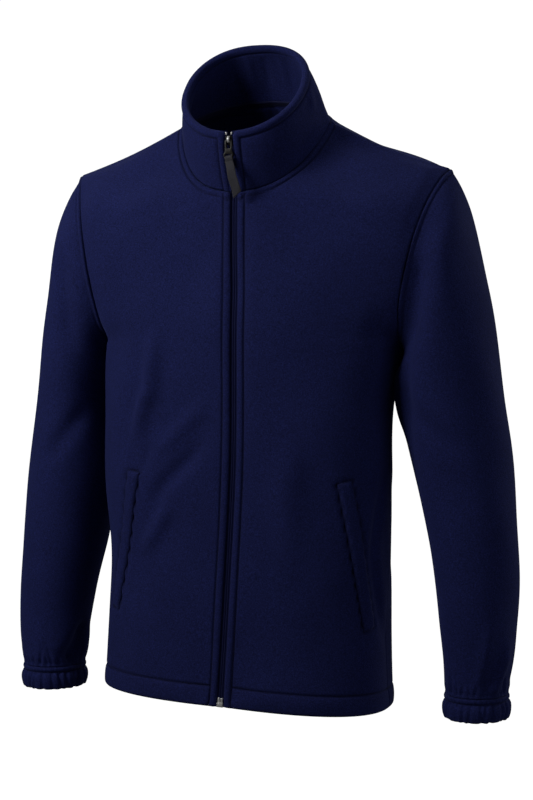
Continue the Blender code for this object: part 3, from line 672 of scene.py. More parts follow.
@dataclass
class SoftSheet:
    """A piece of cloth with real thickness, rounded where it turns in at its edges.

    Attributes:
        points: its grid on the jacket's form.
        outward: unit normals of that grid.
        along: the place of each row, as its folds state it.
        share: the place of each column, from 0 to 1.
        borders: the piece's edges.
        thickness: the thickness of the cloth.
        thinnest: the share of its thickness that is left at an edge.
        least: the least thickness that a sewn line leaves between its two faces.
    """

    points: Grid
    outward: Grid
    along: Grid
    share: Grid
    borders: list[Border]
    thickness: float = 0.0025
    thinnest: float = 0.14
    least: float = 0.0006
    outer: Grid = field(init=False)
    inner: Grid = field(init=False)
    edge: Grid = field(init=False)
    # painted shade along seams and stitching, from 0 to 1
    painted_shade: Grid = field(init=False)

    def __post_init__(self) -> None:
        """Start with an even thickness on both sides of the form."""
        self.outer = np.full(self.points.shape[:2], self.thickness / 2.0)
        self.inner = -self.outer
        self.painted_shade = np.zeros_like(self.outer)
        self.edge = np.minimum.reduce([border.distance for border in self.borders])

    def lift(self, height: Grid) -> None:
        """Move the whole thickness outwards."""
        self.outer = self.outer + height
        self.inner = self.inner + height

    def swell(self, outside: Grid | float, inside: Grid | float) -> None:
        """Thicken the cloth outwards and inwards."""
        self.outer = self.outer + outside
        self.inner = self.inner - inside

    def place(self, along: float, share: float) -> Grid:
        """The point of the form at a place on the piece."""
        row = float(np.interp(along, self.along, np.arange(len(self.along))))
        column = float(np.interp(share, self.share, np.arange(len(self.share))))
        low_row, low_column = min(int(row), len(self.along) - 2), min(int(column), len(self.share) - 2)
        down, over = row - low_row, column - low_column
        corner = self.points[low_row:low_row + 2, low_column:low_column + 2]
        return ((corner[0, 0] * (1 - over) + corner[0, 1] * over) * (1 - down)
                + (corner[1, 0] * (1 - over) + corner[1, 1] * over) * down)

    def line_of(self, fold: Fold) -> Grid:
        """The line in space along which a fold lies."""
        knots = even_shares(len(fold.path))
        places = smooth_line(np.column_stack([knots, np.array(fold.path)]), even_shares(41))
        return np.array([self.place(along, share) for along, share in places])

    def press(self, fold: Fold, line: Grid) -> None:
        """Press one fold into the cloth along a line in space."""
        distance, where = distance_to(self.points, line)
        fade = ease(where / fold.rise) * ease((1.0 - where) / fold.fall)
        shape = bell(distance, fold.width) - 0.3 * bell(distance, 2.2 * fold.width)
        self.lift(fold.height * shape * fade)

    def stitch(self, distance: Grid, line: Topstitch, inside: float = 0.5) -> None:
        """Pinch the cloth along a sewn line at a distance from an edge, and paint shade into its groove."""
        shape = bell(distance - line.offset, line.width)
        self.swell(-line.depth * shape, -line.depth * shape * inside)
        # painted shade in the groove, kept for the fleece's colour
        self.painted_shade = np.maximum(self.painted_shade, line.shadow * shape)

    def sway(self, sway: Sway) -> None:
        """Add the slight unevenness of hanging cloth, away from the piece's edges."""
        self.lift(sway.at(self.points) * ease(self.edge / 0.02))

    def hang(self, sway: Sway, folds: Sequence[Fold]) -> None:
        """Let the cloth hang: its slight unevenness, then its own folds."""
        self.sway(sway)
        for fold in folds:
            self.press(fold, self.line_of(fold))

    def raise_edge(self, distance: Grid, reach: float, height: Grid | float) -> None:
        """Raise the strip between an edge and the stitching that holds its seam allowance."""
        self.swell(height * arch(distance / reach), 0.0)

    def turn_up_hem(self, hem: Grid, share: Grid | float = 1.0) -> None:
        """Thicken the turned-up hem, outside by a share of its full swell."""
        self.swell(SIZES.hem_swell * arch(hem / SIZES.hem) ** SIZES.hem_fullness * share,
                   SIZES.hem_loft * ease((SIZES.hem - hem) / SIZES.hem_ramp))

    def join_seams(self, under_neck: Grid, seam: Grid) -> None:
        """Topstitch a panel under the neck, and draw it in at its neck and armhole seams."""
        self.raise_edge(under_neck, SIZES.neck_stitch.offset, SIZES.neck_swell)
        self.stitch(under_neck, SIZES.neck_stitch, 0.0)
        self.stitch(seam, SIZES.seam_dip, 0.0)

    def faces(self) -> tuple[Grid, Grid]:
        """The grids of the inner face and the outer face."""
        turned = np.minimum.reduce([border.distance / border.roll for border in self.borders])
        round_over = np.sqrt(1.0 - (1.0 - np.clip(turned, 0.0, 1.0)) ** 2)
        round_over = self.thinnest + (1.0 - self.thinnest) * round_over
        middle = (self.outer + self.inner) / 2.0
        half = np.maximum(self.outer - self.inner, self.least) / 2.0 * round_over
        return (self.points + self.outward * (middle - half)[:, :, None],
                self.points + self.outward * (middle + half)[:, :, None])


@dataclass(frozen=True)
class Thread:
    """A row of stitches that sink into the cloth.

    Attributes:
        pitch: the distance from one stitch to the next.
        length: the visible length of a stitch.
        width: its thickness.
        sink: how far its middle lies below the cloth's surface.
    """

    pitch: float = 0.0031
    length: float = 0.0021
    width: float = 0.00042
    sink: float = 0.00022

    def sew(self, name: str, cloth: Item, lines: Sequence[Grid]) -> Item:
        """Lay stitches along lines on a piece of cloth.

        Args:
            name: the name of the joined piece of stitches.
            cloth: the piece that the stitches lie on.
            lines: the lines, near the outer face of the cloth.

        Returns:
            One object with all the stitches.
        """
        surface = BVHTree.FromObject(cloth, bpy.context.evaluated_depsgraph_get())
        rows = bmesh.new()
        single = bmesh.new()
        bmesh.ops.create_uvsphere(single, u_segments=6, v_segments=4, radius=1.0)
        model = bpy.data.meshes.new("stitch")
        single.to_mesh(model)
        single.free()
        for line in lines:
            places = np.arange(self.pitch / 2.0, run_along(line)[-1] - self.pitch / 2.0, self.pitch)
            spots, ends = respace(line, places), respace(line, places + self.pitch / 2.0)
            for spot, end in zip(spots, ends):
                at, normal, _, _ = surface.find_nearest(Vector(spot))
                along = Vector(end - spot)
                along = (along - normal * along.dot(normal)).normalized()
                turn = Matrix((along, normal.cross(along), normal)).transposed().to_4x4()
                size = Matrix.Diagonal((self.length / 2.0, self.width, self.width, 1.0))
                matrix = Matrix.Translation(at - normal * self.sink) @ turn @ size
                stitch = model.copy()
                stitch.transform(matrix)
                rows.from_mesh(stitch)
                bpy.data.meshes.remove(stitch)
        bpy.data.meshes.remove(model)
        return finished(name, rows)


CLOSE_STEPS = np.array([0.0, 0.4, 1.0, 1.8, 2.7, 3.7, 4.7, 5.7, 6.7, 7.5, 8.2, 8.8, 9.5, 10.3, 11.3,
                        12.6]) / 1000.0
SEAM_STEPS = np.array([0.0, 0.4, 1.0, 1.8, 2.8, 4.2]) / 1000.0
HEM_STEPS = np.concatenate([SEAM_STEPS, np.arange(5.5, 20.0, 1.6) / 1000.0,
                            np.array([21.0, 22.0, 23.0, 24.0, 25.0, 26.2, 27.6, 29.5, 32.0]) / 1000.0])
NO_STEPS = np.array([0.0])
AT_END = 0.0001
CUFF_SEAM_ROLL = 0.0012
TAPE_ROLL = 0.0008


@dataclass(frozen=True)
class PanelSizes:
    """Sizes that the body panels share.

    Attributes:
        skirt: the height from the hem to the armpit.
        hem: the height of the turned-up hem.
        hem_loft: how far the hem's layers stand apart inside.
        hem_swell: how far the hem bulges outside.
        hem_corner: the radius of the hem's two corners beside the zip.
        zip_stitch: the topstitching beside the zip.
        zip_swell: how far the folded edge beside the zip bulges.
        neck_stitch: the topstitching under the neck seam.
        neck_swell: how far the seam allowance lifts the strip between the neck seam and its topstitching.
        hem_stitch: the sewn line of the hem.
        seam_dip: how the seam at the neck and the armhole draws the cloth in at its edge.
        hem_fullness: how round the hem's bulge is; 1 is an arch, and less is fuller.
        hem_ramp: the stretch over which the hem's inside layers come together at its sewn line.
        hem_start: how far from the zip the hem's bulge starts.
        hem_blend: the stretch over which it grows.
        zip_roll: how far the cloth turns in at the folded edge beside the zip.
        seam_roll: the same at the neck and the armhole.
        side_roll: the same at the side and the shoulder.
        hem_roll: the same at the hem.
        fine_columns: how many even columns a panel is drawn with before it is spaced.
    """

    skirt: float = 0.423
    hem: float = 0.024
    hem_loft: float = 0.0030
    hem_swell: float = 0.0013
    hem_corner: float = 0.0035
    zip_stitch: Topstitch = Topstitch(0.0088, 0.0013, 0.0013)
    zip_swell: float = 0.0011
    neck_stitch: Topstitch = Topstitch(0.0078, 0.0017, 0.0011)
    neck_swell: float = 0.0009
    hem_stitch: Topstitch = Topstitch(0.024, 0.0015, 0.0014)
    seam_dip: Topstitch = Topstitch(0.0, 0.0013, 0.0011, 0.60)
    hem_fullness: float = 0.7
    hem_ramp: float = 0.004
    hem_start: float = 0.0080
    hem_blend: float = 0.0020
    zip_roll: float = 0.0026
    seam_roll: float = 0.0022
    side_roll: float = 0.0018
    hem_roll: float = 0.0036
    fine_columns: int = 161

    def levels(self) -> Grid:
        """The level of each row of a panel: close together at the hem and the shoulder."""
        skirt = edge_steps(self.skirt, HEM_STEPS, NO_STEPS, 98) / self.skirt
        chest = np.linspace(1.0, 2.0, 49)[1:]
        shoulder = 2.0 + edge_steps(0.11, NO_STEPS, SEAM_STEPS, 34)[1:] / 0.11
        return np.concatenate([skirt, chest, shoulder])


SIZES = PanelSizes()


def spaced_panel(base: Grid, near: Grid, far: Grid, inner: int) -> tuple[Grid, Grid]:
    """Space the columns of a panel in metres.

    Args:
        base: rows of points with many even columns.
        near: the close steps from the first column.
        far: the close steps from the last column.
        inner: how many wide steps lie between them.

    Returns:
        The spaced grid, and the share of the way round that each column lies at.
    """
    rows = [respace(row, edge_steps(run_along(row)[-1], near, far, inner)) for row in base]
    return np.array(rows), arc_shares(rows[len(rows) // 3])


def body_axis(points: Grid) -> Grid:
    """A point inside the body for each row of a panel."""
    return np.stack([np.zeros(len(points)), np.zeros(len(points)), points[:, :, 2].mean(axis=1)], axis=-1)


@dataclass
class FrontPanel:
    """One front of the body, with its folded edge at the zip and its turned-up hem.

    Attributes:
        side: which side it is on.
        folds: its folds; along is a level, and the share runs from the zip to the side.
    """

    side: Side
    folds: tuple[Fold, ...]
    sheet: SoftSheet = field(init=False)
    levels: Grid = field(init=False)
    zip_gap: Grid = field(init=False)

    def lay_out(self, sway: Sway) -> None:
        """Shape the panel's cloth."""
        self.levels = SIZES.levels()
        base = FORM.front(self.side, self.levels, even_shares(SIZES.fine_columns))
        points, share = spaced_panel(base, CLOSE_STEPS, SEAM_STEPS, 50)
        low, high, foot = self.levels <= 2.0, self.levels >= 2.0, self.levels <= 1.0
        steps = (unit_steps(points, 1), unit_steps(points, 0))
        points = round_corner(points, gap_to(points, points[low, 0]),
                              gap_to(points, points[0]), steps, SIZES.hem_corner)
        self.zip_gap, zip_share = distance_to(points, points[low, 0])
        neck, neck_share = distance_to(points, points[high, 0])
        hem = gap_to(points, points[0])
        armhole = gap_to(points, points[~foot, -1])
        borders = [Border(self.zip_gap, SIZES.zip_roll), Border(neck, SIZES.seam_roll),
                   Border(hem, SIZES.hem_roll), Border(armhole, SIZES.seam_roll),
                   *borders_along(points, [(points[foot, -1], SIZES.side_roll),
                                           (points[-1], SIZES.side_roll)])]
        outward = outward_normals(points, False, body_axis(points))
        sheet = self.sheet = SoftSheet(points, outward, self.levels, share, borders)
        sheet.hang(sway, self.folds)
        below_neck = zip_share < 1.0 - AT_END
        sheet.swell(SIZES.zip_swell * arch(self.zip_gap / SIZES.zip_stitch.offset) * below_neck, 0.0)
        past_zip = ease((self.zip_gap - SIZES.hem_start) / SIZES.hem_blend)
        sheet.turn_up_hem(hem, 0.3 + 0.7 * past_zip)
        sheet.stitch(np.where(below_neck, self.zip_gap, 1.0), SIZES.zip_stitch)
        sheet.stitch(np.where(past_zip > 0.5, hem, 1.0), SIZES.hem_stitch)
        under_neck = np.where(neck_share > AT_END, neck, self.below_corner(points))
        sheet.join_seams(under_neck, np.minimum(neck, armhole))

    def below_corner(self, points: Grid) -> Grid:
        """How far each point lies below the front corner of the neck."""
        corner = points[self.levels == 2.0, 0][0]
        return np.where(self.zip_gap < 0.012, corner[2] - points[:, :, 2], 1.0)

    def stitch_lines(self) -> list[Grid]:
        """The lines of topstitching on this front."""
        points = self.sheet.points
        low = self.levels <= 2.0
        column = nearest(CLOSE_STEPS, SIZES.zip_stitch.offset)
        row = nearest(self.levels * SIZES.skirt, SIZES.hem)
        neck = points[self.levels >= 2.0, 0]
        return [points[low, column], points[row, column + 1:-3],
                offset_line(neck, points[self.levels == 1.5, 20][0], SIZES.neck_stitch.offset)]


def offset_line(line: Grid, toward: Grid, distance: float) -> Grid:
    """A line moved sideways over the surface it borders, to the side where a given point lies."""
    away = toward - line
    along = np.gradient(line, axis=0)
    along = unit(along)
    away -= along * (away * along).sum(axis=1)[:, None]
    away = unit(away)
    return line + away * distance


@dataclass
class BackPanel:
    """The back of the body, in one piece, laid out as two halves sewn down the spine.

    Attributes:
        folds: folds on each half; the share runs from the spine to the side.
    """

    folds: dict[Side, tuple[Fold, ...]]
    halves: dict[Side, SoftSheet] = field(init=False)
    levels: Grid = field(init=False)

    def lay_out(self, sway: Sway) -> None:
        """Shape the panel's cloth."""
        self.levels = SIZES.levels()
        low, high, foot = self.levels <= 2.0, self.levels >= 2.0, self.levels <= 1.0
        grids = {}
        for side in Side:
            base = FORM.back_half(side, self.levels, even_shares(SIZES.fine_columns))
            grids[side] = spaced_panel(base, NO_STEPS, SEAM_STEPS, 58)
        normals = {side: outward_normals(grids[side][0], False, body_axis(grids[side][0])) for side in Side}
        spine = normals[Side.LEFT][low, 0] + normals[Side.RIGHT][low, 0]
        spine = unit(spine)
        hem_line = np.concatenate([grids[Side.LEFT][0][0][::-1], grids[Side.RIGHT][0][0][1:]])
        neck_line = np.concatenate([grids[Side.LEFT][0][high, 0][::-1], grids[Side.RIGHT][0][high, 0][1:]])
        self.halves = {}
        necks, hems = {}, {}
        for side in Side:
            points, share = grids[side]
            normals[side][low, 0] = spine
            necks[side], hems[side] = gap_to(points, neck_line), gap_to(points, hem_line)
            borders = [Border(necks[side], SIZES.seam_roll), Border(hems[side], SIZES.hem_roll),
                       *borders_along(points, [(points[foot, -1], SIZES.side_roll),
                                               (points[~foot, -1], SIZES.seam_roll),
                                               (points[-1], SIZES.side_roll)])]
            self.halves[side] = SoftSheet(points, normals[side], self.levels, share, borders)
            self.halves[side].sway(sway)
        for side, folds in self.folds.items():
            for fold in folds:
                line = self.halves[side].line_of(fold)
                for half in self.halves.values():
                    half.press(fold, line)
        for side, half in self.halves.items():
            half.turn_up_hem(hems[side])
            half.stitch(hems[side], SIZES.hem_stitch)
            armhole = gap_to(half.points, half.points[~foot, -1])
            half.join_seams(necks[side], np.minimum(necks[side], armhole))

    def stitch_lines(self) -> list[Grid]:
        """The lines of topstitching on the back."""
        row = nearest(self.levels * SIZES.skirt, SIZES.hem)
        high = self.levels >= 2.0
        left, right = (self.halves[side].points for side in Side)
        neck = np.concatenate([left[high, 0][::-1], right[high, 0][1:]])
        centre = left[len(left) // 2, 0]
        return [np.concatenate([left[row, :-3][::-1], right[row, 1:-3]]),
                offset_line(neck, centre, SIZES.neck_stitch.offset)]


@dataclass(frozen=True)
class Gathers:
    """The uneven small folds where elastic draws the cloth in.

    Attributes:
        count: how many lie round the piece.
        depth: how deep they are on average.
        width: half the width of one.
        reach: how far they run from the elastic, from the shortest to the longest.
        seed: which unevenness.
    """

    count: int
    depth: float
    width: float
    reach: tuple[float, float]
    seed: int

    def at(self, share: Grid, girth: float, away: Grid) -> Grid:
        """How far the gathers lift the cloth.

        Args:
            share: how far round the piece each column lies, from 0 to 1.
            girth: the length round the piece.
            away: the distance of each point from the elastic.

        Returns:
            The height at each point of the grid.
        """
        source = np.random.default_rng(self.seed)
        total = np.zeros(away.shape)
        for number in range(self.count):
            middle = (number + source.uniform(-0.32, 0.32)) / self.count
            drift = source.uniform(-0.25, 0.25)
            reach = source.uniform(*self.reach)
            deep = source.uniform(0.45, 1.35) * self.depth
            gap = (share[None, :] - middle) * girth - drift * away
            gap = (gap + girth / 2.0) % girth - girth / 2.0
            width = self.width * (1.0 + 0.7 * away / reach)
            fade = ease(1.25 * (1.0 - away / reach))
            total -= deep * fade * (np.exp(-(gap / width) ** 2) - 0.35 * np.exp(-(gap / width / 2.2) ** 2))
        return total


@dataclass
class Sleeve:
    """A set-in sleeve, gathered at its foot where the cuff's elastic draws it in.

    Attributes:
        side: which side it is on.
        folds: its folds; along runs from 0 at the armhole to 1 at the cuff, and the share runs
            from the armpit up the front, over the outer side at a half, and down the back.
        gathers: the small folds above the cuff.
        length: its length from the armhole to the cuff.
        half_columns: how many columns lie on its front, and as many on its back.
        armhole_stitch: the topstitching beside the armhole.
        armhole_swell: how far the seam allowance lifts the cloth beside the armhole.
    """

    side: Side
    folds: tuple[Fold, ...]
    gathers: Gathers
    length: float = 0.49
    half_columns: int = 110
    armhole_stitch: Topstitch = Topstitch(0.0057, 0.0008, 0.0011, 0.35)
    armhole_swell: float = 0.0008
    sheet: SoftSheet = field(init=False)

    def lay_out(self, sway: Sway) -> None:
        """Shape the sleeve's cloth."""
        foot_steps = np.concatenate([SEAM_STEPS, np.arange(6.0, 46.0, 2.0) / 1000.0])
        places = edge_steps(self.length, CLOSE_STEPS, foot_steps, 84) / self.length
        points = FORM.sleeve(self.side, places, self.half_columns)
        top = gap_to(points, points[0])
        foot = gap_to(points, points[-1])
        share = even_shares(points.shape[1])
        borders = [Border(top, SIZES.seam_roll), Border(foot, CUFF_SEAM_ROLL)]
        outward = outward_normals(points, True, points[:, :-1].mean(axis=1))
        sheet = self.sheet = SoftSheet(points, outward, places, share, borders)
        sheet.hang(sway, self.folds)
        girth = run_along(points[-1])[-1]
        held = 0.2 + 0.8 * ease(foot / 0.006)
        sheet.lift(self.gathers.at(share, girth, foot) * held - 0.0010 * bell(foot - 0.004, 0.004))
        sheet.raise_edge(top, self.armhole_stitch.offset, self.armhole_swell)
        sheet.stitch(top, self.armhole_stitch)
        sheet.stitch(top, SIZES.seam_dip, 0.0)

    def stitch_lines(self) -> list[Grid]:
        """The line of topstitching beside the armhole."""
        row = nearest(CLOSE_STEPS, self.armhole_stitch.offset)
        return [self.sheet.points[row]]


class CuffRow(NamedTuple):
    """One turn of a cuff: how far it lies below the sleeve and outside its last ring."""

    drop: float
    swell: float


@dataclass
class Cuff:
    """An elasticated cuff: a narrow casing between two sewn rows, over a short frill.

    Attributes:
        side: which side it is on.
        gathers: the folds of the frill.
        puckers: the small folds of the casing.
        casing: the height of the casing.
        rows: the turns of its shape.
        row_stitch: each sewn row of the casing.
    """

    side: Side
    gathers: Gathers
    puckers: Gathers
    casing: float = 0.0068
    rows: tuple[CuffRow, ...] = (CuffRow(0.0, -0.0008), CuffRow(0.0034, 0.0002), CuffRow(0.0068, -0.0006),
                                 CuffRow(0.0135, 0.0018), CuffRow(0.0225, 0.0016), CuffRow(0.0282, -0.0002))
    row_stitch: Topstitch = Topstitch(0.0, 0.0012, 0.0012)
    sheet: SoftSheet = field(init=False)

    def lay_out(self, half_columns: int) -> None:
        """Shape the cuff's cloth."""
        drops = edge_steps(self.rows[-1].drop, SEAM_STEPS[:4], SEAM_STEPS, 18)
        swells = smooth_line(self.rows, drops)[:, 0]
        last = SLEEVES[self.side][-1]
        turns = [last._replace(z=last.z - drop, half_width=last.half_width + swell,
                               half_depth=last.half_depth + swell) for drop, swell in zip(drops, swells)]
        angles = FORM.sleeve_angles(half_columns)
        points = np.array([FORM.sleeve_ring(turn, self.side, angles) for turn in turns])
        share = even_shares(points.shape[1])
        drop = np.broadcast_to(drops[:, None], points.shape[:2])
        borders = [Border(drop, CUFF_SEAM_ROLL), Border(self.rows[-1].drop - drop, SIZES.seam_roll)]
        outward = outward_normals(points, True, points[:, :-1].mean(axis=1))
        sheet = self.sheet = SoftSheet(points, outward, drops / drops[-1], share, borders, thickness=0.0034)
        girth = run_along(points[-1])[-1]
        below = np.maximum(drop - self.casing, 0.0)
        past = ease((drop - self.casing) / 0.003)
        within = arch(drop / self.casing)
        sheet.lift(self.gathers.at(share, girth, below) * past
                        + self.puckers.at(share, girth, np.zeros_like(drop)) * within)
        sheet.stitch(drop, self.row_stitch)
        sheet.stitch(drop - self.casing, self.row_stitch)

    def stitch_lines(self) -> list[Grid]:
        """The lower sewn row of the casing."""
        row = nearest(self.sheet.along * self.rows[-1].drop, self.casing)
        return [self.sheet.points[row] + self.sheet.outward[row] * self.sheet.outer[row][:, None]]


@dataclass
class Collar:
    """The stand collar: two layers of fleece, rolled over at the rim and topstitched.

    Attributes:
        folds: its folds; along runs from 0 at the neck to 1 at the rim, and the share runs from the
            left side of the zip round the back to the right side.
        loft: how far its two layers stand apart beyond one thickness of cloth.
        rim_stitch: the topstitching under the rim.
        rim_swell: how far the rolled rim bulges.
        corner: the radius of its two corners beside the zip.
        inner_columns: how many wide steps each half has.
        rows: how many wide steps its height has.
    """

    folds: tuple[Fold, ...]
    loft: float = 0.0042
    rim_stitch: Topstitch = Topstitch(0.0092, 0.0011, 0.0012)
    rim_swell: float = 0.0016
    corner: float = 0.0068
    inner_columns: int = 84
    rows: int = 28
    sheet: SoftSheet = field(init=False)
    foot: Grid = field(init=False)
    rim: Grid = field(init=False)

    def lay_out(self, sway: Sway) -> None:
        """Shape the collar's cloth."""
        halves = []
        for side in Side:
            line = FORM.neckline(side)
            foot = respace(line, edge_steps(run_along(line)[-1], CLOSE_STEPS, NO_STEPS, self.inner_columns))
            halves.append(FORM.collar_half(side, foot, even_shares(81)))
        fine = np.concatenate([halves[0], halves[1][:, ::-1][:, 1:]], axis=1)
        columns = [respace(fine[:, number], edge_steps(run_along(fine[:, number])[-1], SEAM_STEPS,
                                                       CLOSE_STEPS, self.rows))
                   for number in range(fine.shape[1])]
        points = np.stack(columns, axis=1)
        along, share = arc_shares(points[:, points.shape[1] // 2]), arc_shares(points[-1])
        rim = gap_to(points, points[-1])
        over, up = unit_steps(points, 1), unit_steps(points, 0)
        for column, way in ((0, 1.0), (-1, -1.0)):
            start = gap_to(points, points[:, column])
            points = round_corner(points, start, rim, (over * way, -up), self.corner)
        self.foot = gap_to(points, points[0])
        self.rim = gap_to(points, points[-1])
        starts = [gap_to(points, points[:, column]) for column in (0, -1)]
        borders = [Border(self.foot, 0.0024), Border(self.rim, 0.0034)]
        borders += [Border(start, 0.0028) for start in starts]
        inside = np.array([0.0, FORM.rim_centre[1], FORM.rim_centre[2]])
        sheet = self.sheet = SoftSheet(points, outward_normals(points, False, inside), along, share, borders)
        sheet.hang(sway, self.folds)
        sheet.swell(0.0, self.loft * ease((self.foot - 0.001) / 0.008))
        beside = np.minimum.reduce([self.rim, *starts])
        puff = arch(beside / self.rim_stitch.offset)
        sheet.swell(self.rim_swell * puff, 0.3 * self.rim_swell * puff)
        sheet.stitch(beside, self.rim_stitch, 1.0)
        sheet.stitch(self.foot, SIZES.seam_dip, 0.0)

    def stitch_lines(self) -> list[Grid]:
        """The topstitching under the rim and beside the zip."""
        points = self.sheet.points
        row = len(points) - 1 - nearest(CLOSE_STEPS, self.rim_stitch.offset)
        column = nearest(CLOSE_STEPS, self.rim_stitch.offset)
        return [points[row, column:-column], points[:row, column], points[:row, -1 - column]]

    def inner_band(self, height: float, start: float, end: float, gap: float, thickness: float) -> SoftSheet:
        """A strip of tape that lies on the inner side of the collar's foot.

        Args:
            height: how high it reaches above the neck seam.
            start: the share round the collar at which it starts.
            end: the share at which it ends.
            gap: how far it lies off the collar.
            thickness: its thickness.

        Returns:
            The strip, not yet built.
        """
        sheet = self.sheet
        rows = np.nonzero(self.foot.mean(axis=1) <= height)[0]
        columns = np.nonzero((sheet.share >= start) & (sheet.share <= end))[0]
        part = np.ix_(rows, columns)
        points, outward = sheet.points[part], sheet.outward[part]
        band = SoftSheet(points, outward, sheet.along[rows], sheet.share[columns],
                         four_borders(points, TAPE_ROLL), thickness)
        band.lift(sheet.inner[part] - gap - thickness / 2.0)
        return band


@dataclass
class PocketWelt:
    """A slanted pocket: a folded strip sewn round its edge, lying on the front.

    Attributes:
        top_across: how far its top lies from the zip, round the front.
        top_level: the level of its top.
        foot_across: how far its foot lies from the zip.
        foot_level: the level of its foot.
        width: its width.
        length: about how long it is, which its rows are spaced by.
        height: how far it stands off the front.
        bed: how far it sinks into the front's nap.
        roll: how far its edges turn in.
        groove: how the stitching round it pulls the front in, and how much painted shade darkens it.
        edge_dip: how its own edge sinks into that groove, with painted shade.
    """

    top_across: float
    top_level: float
    foot_across: float
    foot_level: float
    width: float = 0.0185
    length: float = 0.17
    height: float = 0.0017
    bed: float = 0.0008
    roll: float = 0.0020
    groove: Topstitch = Topstitch(0.0, 0.0030, 0.0017, 0.95)
    edge_dip: Topstitch = Topstitch(0.0, 0.0004, 0.0011, 0.8)
    sheet: SoftSheet = field(init=False)

    def places(self, front: FrontPanel, along: Grid, across: Grid) -> tuple[Grid, Grid]:
        """Fractional rows and columns of the front under a grid of places on the welt."""
        levels = self.top_level + (self.foot_level - self.top_level) * along
        starts = self.top_across + (self.foot_across - self.top_across) * along
        slant = (self.foot_across - self.top_across) / ((self.top_level - self.foot_level) * SIZES.skirt)
        level = levels[:, None] + slant * self.width * across[None, :] / SIZES.skirt
        rows = np.interp(level, front.levels, np.arange(len(front.levels)))
        runs = np.array([run_along(row) for row in front.sheet.points])
        reach = starts[:, None] + self.width * across[None, :]
        columns = np.zeros_like(rows)
        for index, row in np.ndenumerate(rows):
            columns[index] = np.interp(reach[index], runs[int(row)], np.arange(runs.shape[1]))
        return rows, columns

    def sink_front(self, front: FrontPanel) -> None:
        """Pull the front in along the stitching round the welt, and paint shade into that groove."""
        rows, columns = self.places(front, even_shares(41), np.array([0.0, 1.0]))
        edges = sample(front.sheet.points, rows, columns)
        outline = np.concatenate([edges[:, 0], edges[::-1, 1], edges[:1, 0]])
        front.sheet.stitch(gap_to(front.sheet.points, outline), self.groove, -0.5)

    def lay_out(self, front: FrontPanel) -> None:
        """Shape the strip on the finished front."""
        close = SEAM_STEPS[:5]
        along = edge_steps(self.length, close, close, 52) / self.length
        across = edge_steps(self.width, close, close, 8) / self.width
        rows, columns = self.places(front, along, across)
        points = sample(front.sheet.faces()[1], rows, columns)
        outward = sample(front.sheet.outward, rows, columns)
        outward = unit(outward)
        self.sheet = SoftSheet(points, outward, along, across, four_borders(points, self.roll),
                               thickness=self.height + self.bed)
        self.sheet.lift((self.height - self.bed) / 2.0)
        self.sheet.stitch(self.sheet.edge, self.edge_dip)

    def stitch_lines(self) -> list[Grid]:
        """The stitching down both sides of the strip and across its ends."""
        points = self.sheet.faces()[1]
        return [points[3:-3, 3], points[3:-3, -4], points[3, 3:-3], points[-4, 3:-3]]


def sample(grid: Grid, rows: Grid, columns: Grid) -> Grid:
    """Read a grid of points at fractional rows and columns."""
    low_row = np.clip(rows.astype(int), 0, grid.shape[0] - 2)
    low_column = np.clip(columns.astype(int), 0, grid.shape[1] - 2)
    down, over = (rows - low_row)[:, :, None], (columns - low_column)[:, :, None]
    upper = grid[low_row, low_column] * (1.0 - over) + grid[low_row, low_column + 1] * over
    lower = grid[low_row + 1, low_column] * (1.0 - over) + grid[low_row + 1, low_column + 1] * over
    return upper * (1.0 - down) + lower * down


# ---------------------------------------------------------------- zip

@dataclass(frozen=True)
class ZipSizes:
    """Sizes of the zip.

    Attributes:
        tape_front: where the front of the tape lies against the fleece's form.
        tape: the thickness of the tape.
        lap: how far the tape runs on behind the folded edge.
        meeting: half the gap between the two halves.
        rim_opening: how far the halves part at the rim.
        rib: how high the tape rises over the coil beneath it.
        rib_place: how far from the meeting line that rise lies.
        rib_width: half its width.
        slider_drop: how far the slider's middle lies below the rim.
    """

    tape_front: float = -0.00205
    tape: float = 0.0008
    lap: float = 0.0060
    meeting: float = 0.00001
    rim_opening: float = 0.0024
    rib: float = 0.0008
    rib_place: float = 0.0013
    rib_width: float = 0.0009
    slider_drop: float = 0.0105


ZIP = ZipSizes()
TAPE_STEPS = np.array([0.0, 0.3, 0.7, 1.1, 1.5, 1.9, 2.3, 2.8, 3.5, 4.4]) / 1000.0


def zip_edges(side: Side, levels: Grid, rise: Grid) -> tuple[Grid, Grid, Grid]:
    """One folded edge of the front opening, from the hem to the rim.

    Args:
        side: which edge.
        levels: levels on the body, below the neck.
        rise: heights on the collar, from 0 to 1.

    Returns:
        The edge, the unit steps across the cloth from it, and the outward normals.
    """
    body = FORM.front(side, levels, np.array([0.0, 0.03]))
    line = FORM.neckline(side)
    foot = respace(line, np.array([0.0, 0.006, run_along(line)[-1]]))
    collar = FORM.collar_half(side, foot, rise)
    edge = np.concatenate([body[:, 0], collar[:, 0]])
    across = np.concatenate([body[:, 1], collar[:, 1]]) - edge
    across = unit(across)
    normal = np.cross(across, np.gradient(edge, axis=0)) * side.value
    return edge, across, unit(normal)


def zip_frame(at_rim: bool, distance: float) -> Matrix:
    """Frame on the closed zip: X across it, Y up it, Z out of it.

    Args:
        at_rim: whether the distance is down from the rim, or up from the hem.
        distance: how far along the zip the frame lies.

    Returns:
        The frame's matrix.
    """
    levels, rise = np.array([0.0, 0.057]), np.array([0.0, 0.78, 1.0])
    middle = sum(zip_edges(side, levels, rise)[0] for side in Side) / 2.0
    above, below = (middle[-1], middle[-2]) if at_rim else (middle[1], middle[0])
    up = Vector(above - below).normalized()
    across = (Vector((1.0, 0.0, 0.0)) - up * up.x).normalized()
    origin = Vector(above) - up * distance if at_rim else Vector(below) + up * distance
    turn = Matrix((across, up, across.cross(up))).transposed().to_4x4()
    return Matrix.Translation(origin) @ turn


